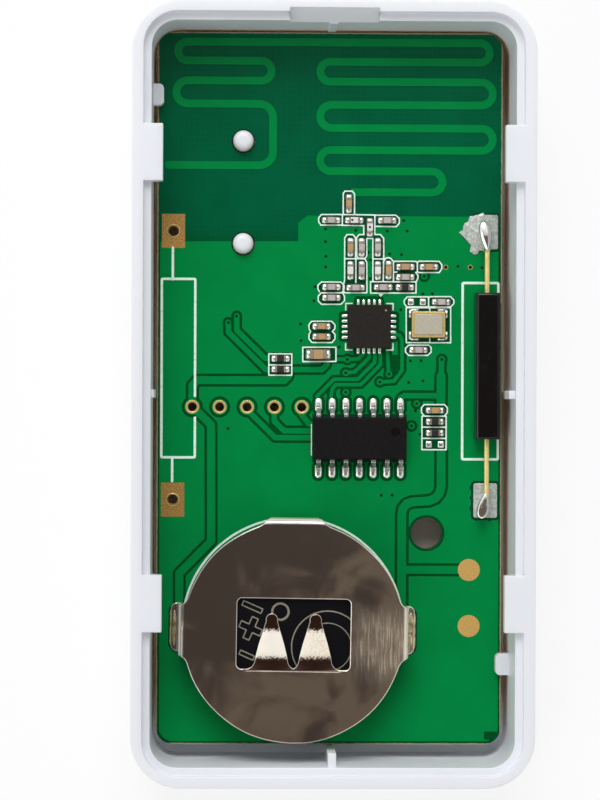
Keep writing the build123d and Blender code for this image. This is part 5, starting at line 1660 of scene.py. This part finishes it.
def formed_clip():
    """The blank bent into the clip."""
    mesh = relief(clip_sheet().loops(), base=-SHEET / 2, height=SHEET, rounding=0.09, steps=2)
    # Cuts across the sheet, so that it can bend: at the crease, along the fingers and in each bend
    crease = (CREASE - CREASE_HALF_W, CREASE, CREASE + CREASE_HALF_W)
    beside = (-FINGERS_HALF_W, -4.15, -2, 0, 2, 4.15, FINGERS_HALF_W)
    bend = [step * ARC / 6 for step in range(7)]
    cuts = [((0, y, 0), (0, 1, 0)) for y in (*crease, *np.arange(-3.45, 1.75, 0.15))]
    cuts += [((x, 0, 0), (1, 0, 0)) for x in beside]
    cuts += [((0, STOP_BEND + along, 0), (0, 1, 0)) for along in bend]
    for side in (-1, 1):
        for start in (EAR_BEND, EAR_BEND + ARC + LEG_L):
            cuts += [((side * (start + along), 0, 0), (1, 0, 0)) for along in bend]
    with reworked(mesh) as work:
        for place, normal in cuts:
            geometry = [*work.verts, *work.edges, *work.faces]
            bmesh.ops.bisect_plane(work, geom=geometry, dist=1e-4, plane_co=place, plane_no=normal)
        for vertex in work.verts:
            x, y, z = vertex.co
            if abs(x) > EAR_BEND:
                out, down = bent(abs(x) - EAR_BEND, z, True)
                vertex.co = (math.copysign(EAR_BEND + out, x), y, down)
            elif y > STOP_BEND:
                out, down = bent(y - STOP_BEND, z, False)
                vertex.co = (x, STOP_BEND + out, down)
            elif abs(x) < FINGERS_HALF_W and -3.7 < y < 1.8:
                vertex.co.z += finger_drop(x, y)
        bmesh.ops.translate(work, verts=work.verts, vec=(0, 0, PLATE_Z))
    return on_board(mesh, CELL.xy, CLIP_TURN)


class SENSOR_OT_battery_clip(bpy.types.Operator):
    """Cut and bend the battery clip and solder its feet"""

    bl_idname = "sensor.battery_clip"
    bl_label = "Battery clip"

    def execute(self, context):
        make_piece(
            "clip_formed", formed_clip(), "nickel_plated_strip",
            replaced=("battery_clip",),
        )
        outer = EAR_BEND + 2 * BEND_R + FOOT_L
        inner = EAR_BEND + BEND_R + SHEET / 2
        fillet, film = (Artwork(DETAIL_STEP, (-12.0, -3.0), (12.0, 3.0)) for _ in range(2))
        near, far = JOINT_ENDS
        for side in (-1, 1):
            low, high = sorted((side * (inner - 0.2), side * (outer + 0.1)))
            fillet.block((low, near), (high, far), radius=0.8)
            film.block(
                (low - SHADOW_FILM_RIM, near - SHADOW_FILM_RIM), (high + SHADOW_FILM_RIM, far + SHADOW_FILM_RIM), radius=0.8,
            )
        drops = [relief(fillet.loops(), base=0.0, height=0.26, rounding=0.12, steps=3)]
        drops += [bead(x, y, half_w, half_l, 0.27, 0.12) for x, y, half_w, half_l in (
            (inner + 0.44, 0.7, 0.26, 0.95), (inner + 0.4, -0.95, 0.22, 0.6),
            (-inner - 0.46, -0.1, 0.2, 1.7),
        )]
        make_piece(
            "clip_solder_joints", on_board(joined(drops), CELL.xy, CLIP_TURN), "stained_solder",
            replaced=("clip_solder",),
        )
        # Painted shadow: a dark film round each foot, over its pad
        flux(
            "clip_flux", film, height=0.055, rounding=0.01, place=CELL.xy, turn=CLIP_TURN,
            replaced=("clip_pads",),
        )
        return {"FINISHED"}


# The cell lies with its marks turned by this angle
MARKS_TURN = math.radians(-24)


def slanted(x, y, points):
    """Points turned as the cell's marks are, and moved to a place on the cell."""
    c, s = math.cos(MARKS_TURN), math.sin(MARKS_TURN)
    return [(x + c * u - s * v, y + s * u + c * v) for u, v in points]


PLUS_MARK = slanted(-7.25, -21.95, (
    (-0.3, -1.05), (0.3, -1.05), (0.3, -0.3), (1.05, -0.3), (1.05, 0.3), (0.3, 0.3), (0.3, 1.05),
    (-0.3, 1.05), (-0.3, 0.3), (-1.05, 0.3), (-1.05, -0.3), (-0.3, -0.3),
))
# Place, radius and line width
RING_MARKS = ((-0.21, -23.66, 3.3, 0.12), (-0.21, -23.66, 2.2, 0.09), (-4.53, -20.42, 0.75, 0.2))
BAR_MARKS = (
    slanted(-7.1, -20.0, ((-0.95, -0.22), (0.95, -0.22), (0.95, 0.22), (-0.95, 0.22))),
    slanted(-7.6, -24.4, ((-0.7, -0.2), (0.7, -0.2), (0.7, 0.2), (-0.7, 0.2))),
)


class SENSOR_OT_coin_cell(bpy.types.Operator):
    """Finish the coin cell and stamp its face"""

    bl_idname = "sensor.coin_cell"
    bl_label = "Coin cell"

    def execute(self, context):
        # Painted shade: the can and cap take the near black steel colour
        paint("cell_can", "stamped_cell_steel")
        paint("cell_cap", "stamped_cell_steel")
        paint("cell_gasket", "moulded_gasket")
        marks = Artwork(DETAIL_STEP, (-13.3, -32.3), (6.6, -12.3))
        for x, y, radius, width in RING_MARKS:
            marks.ring(x, y, radius, width)
        for shape in (PLUS_MARK, *BAR_MARKS):
            marks.shape(shape, line=0.11)
        mesh = relief(marks.loops(), base=CELL.z - 0.02, height=0.035, rounding=0.008)
        make_piece("cell_marks", on_board(mesh), "stamped_line", body="coin_cell", level=True)
        return {"FINISHED"}


class SENSOR_OT_status_lamp(bpy.types.Operator):
    """Finish the status lamp under the board"""

    bl_idname = "sensor.status_lamp"
    bl_label = "Status lamp"

    def execute(self, context):
        round_off("status_led_base", "fired_white_ceramic", 0.03)
        round_off("status_led_lens", "moulded_acrylic", 0.06)
        return {"FINISHED"}


OPERATORS = (
    SENSOR_OT_stage, SENSOR_OT_housing, SENSOR_OT_board, SENSOR_OT_vias, SENSOR_OT_printing,
    SENSOR_OT_pads, SENSOR_OT_reed_switch, SENSOR_OT_controller, SENSOR_OT_radio, SENSOR_OT_chips,
    SENSOR_OT_battery_clip, SENSOR_OT_coin_cell, SENSOR_OT_status_lamp,
)


class SensorLook(bpy.types.PropertyGroup):
    housing: bpy.props.PointerProperty(name="Housing", description="Moulded parts", type=HousingLook)
    board: bpy.props.PointerProperty(name="Board", description="Circuit board", type=BoardLook)
    metal: bpy.props.PointerProperty(name="Metals", description="Solder, gold and tin", type=MetalLook)
    chip: bpy.props.PointerProperty(name="Chips", description="Parts on the board", type=ChipLook)
    clip: bpy.props.PointerProperty(name="Clip", description="Battery clip and cell", type=ClipLook)
    stage: bpy.props.PointerProperty(name="Stage", description="Lamps and floor", type=StageLook)


class SENSOR_PT_panel(bpy.types.Panel):
    """Lists the sensor's pieces and looks"""

    bl_label = "Door and window sensor"
    bl_idname = "SENSOR_PT_panel"
    bl_space_type = "VIEW_3D"
    bl_region_type = "UI"
    bl_category = "Sensor"

    def draw(self, context):
        for operator in OPERATORS:
            self.layout.operator(operator.bl_idname)
        looks = context.scene.sensor
        for name in ("housing", "board", "metal", "chip", "clip", "stage"):
            group = getattr(looks, name)
            box = self.layout.box()
            box.label(text=name.capitalize())
            for prop in group.__annotations__:
                box.prop(group, prop)


CLASSES = (
    HousingLook, BoardLook, MetalLook, ChipLook, ClipLook, StageLook, SensorLook, *OPERATORS,
    SENSOR_PT_panel,
)


def register():
    for cls in CLASSES:
        bpy.utils.register_class(cls)
    bpy.types.Scene.sensor = bpy.props.PointerProperty(type=SensorLook)


def unregister():
    del bpy.types.Scene.sensor
    for cls in reversed(CLASSES):
        bpy.utils.unregister_class(cls)


def main():
    register()
    for operator in OPERATORS:
        group, name = operator.bl_idname.split(".")
        getattr(getattr(bpy.ops, group), name)()


if __name__ == "__main__":
    main()
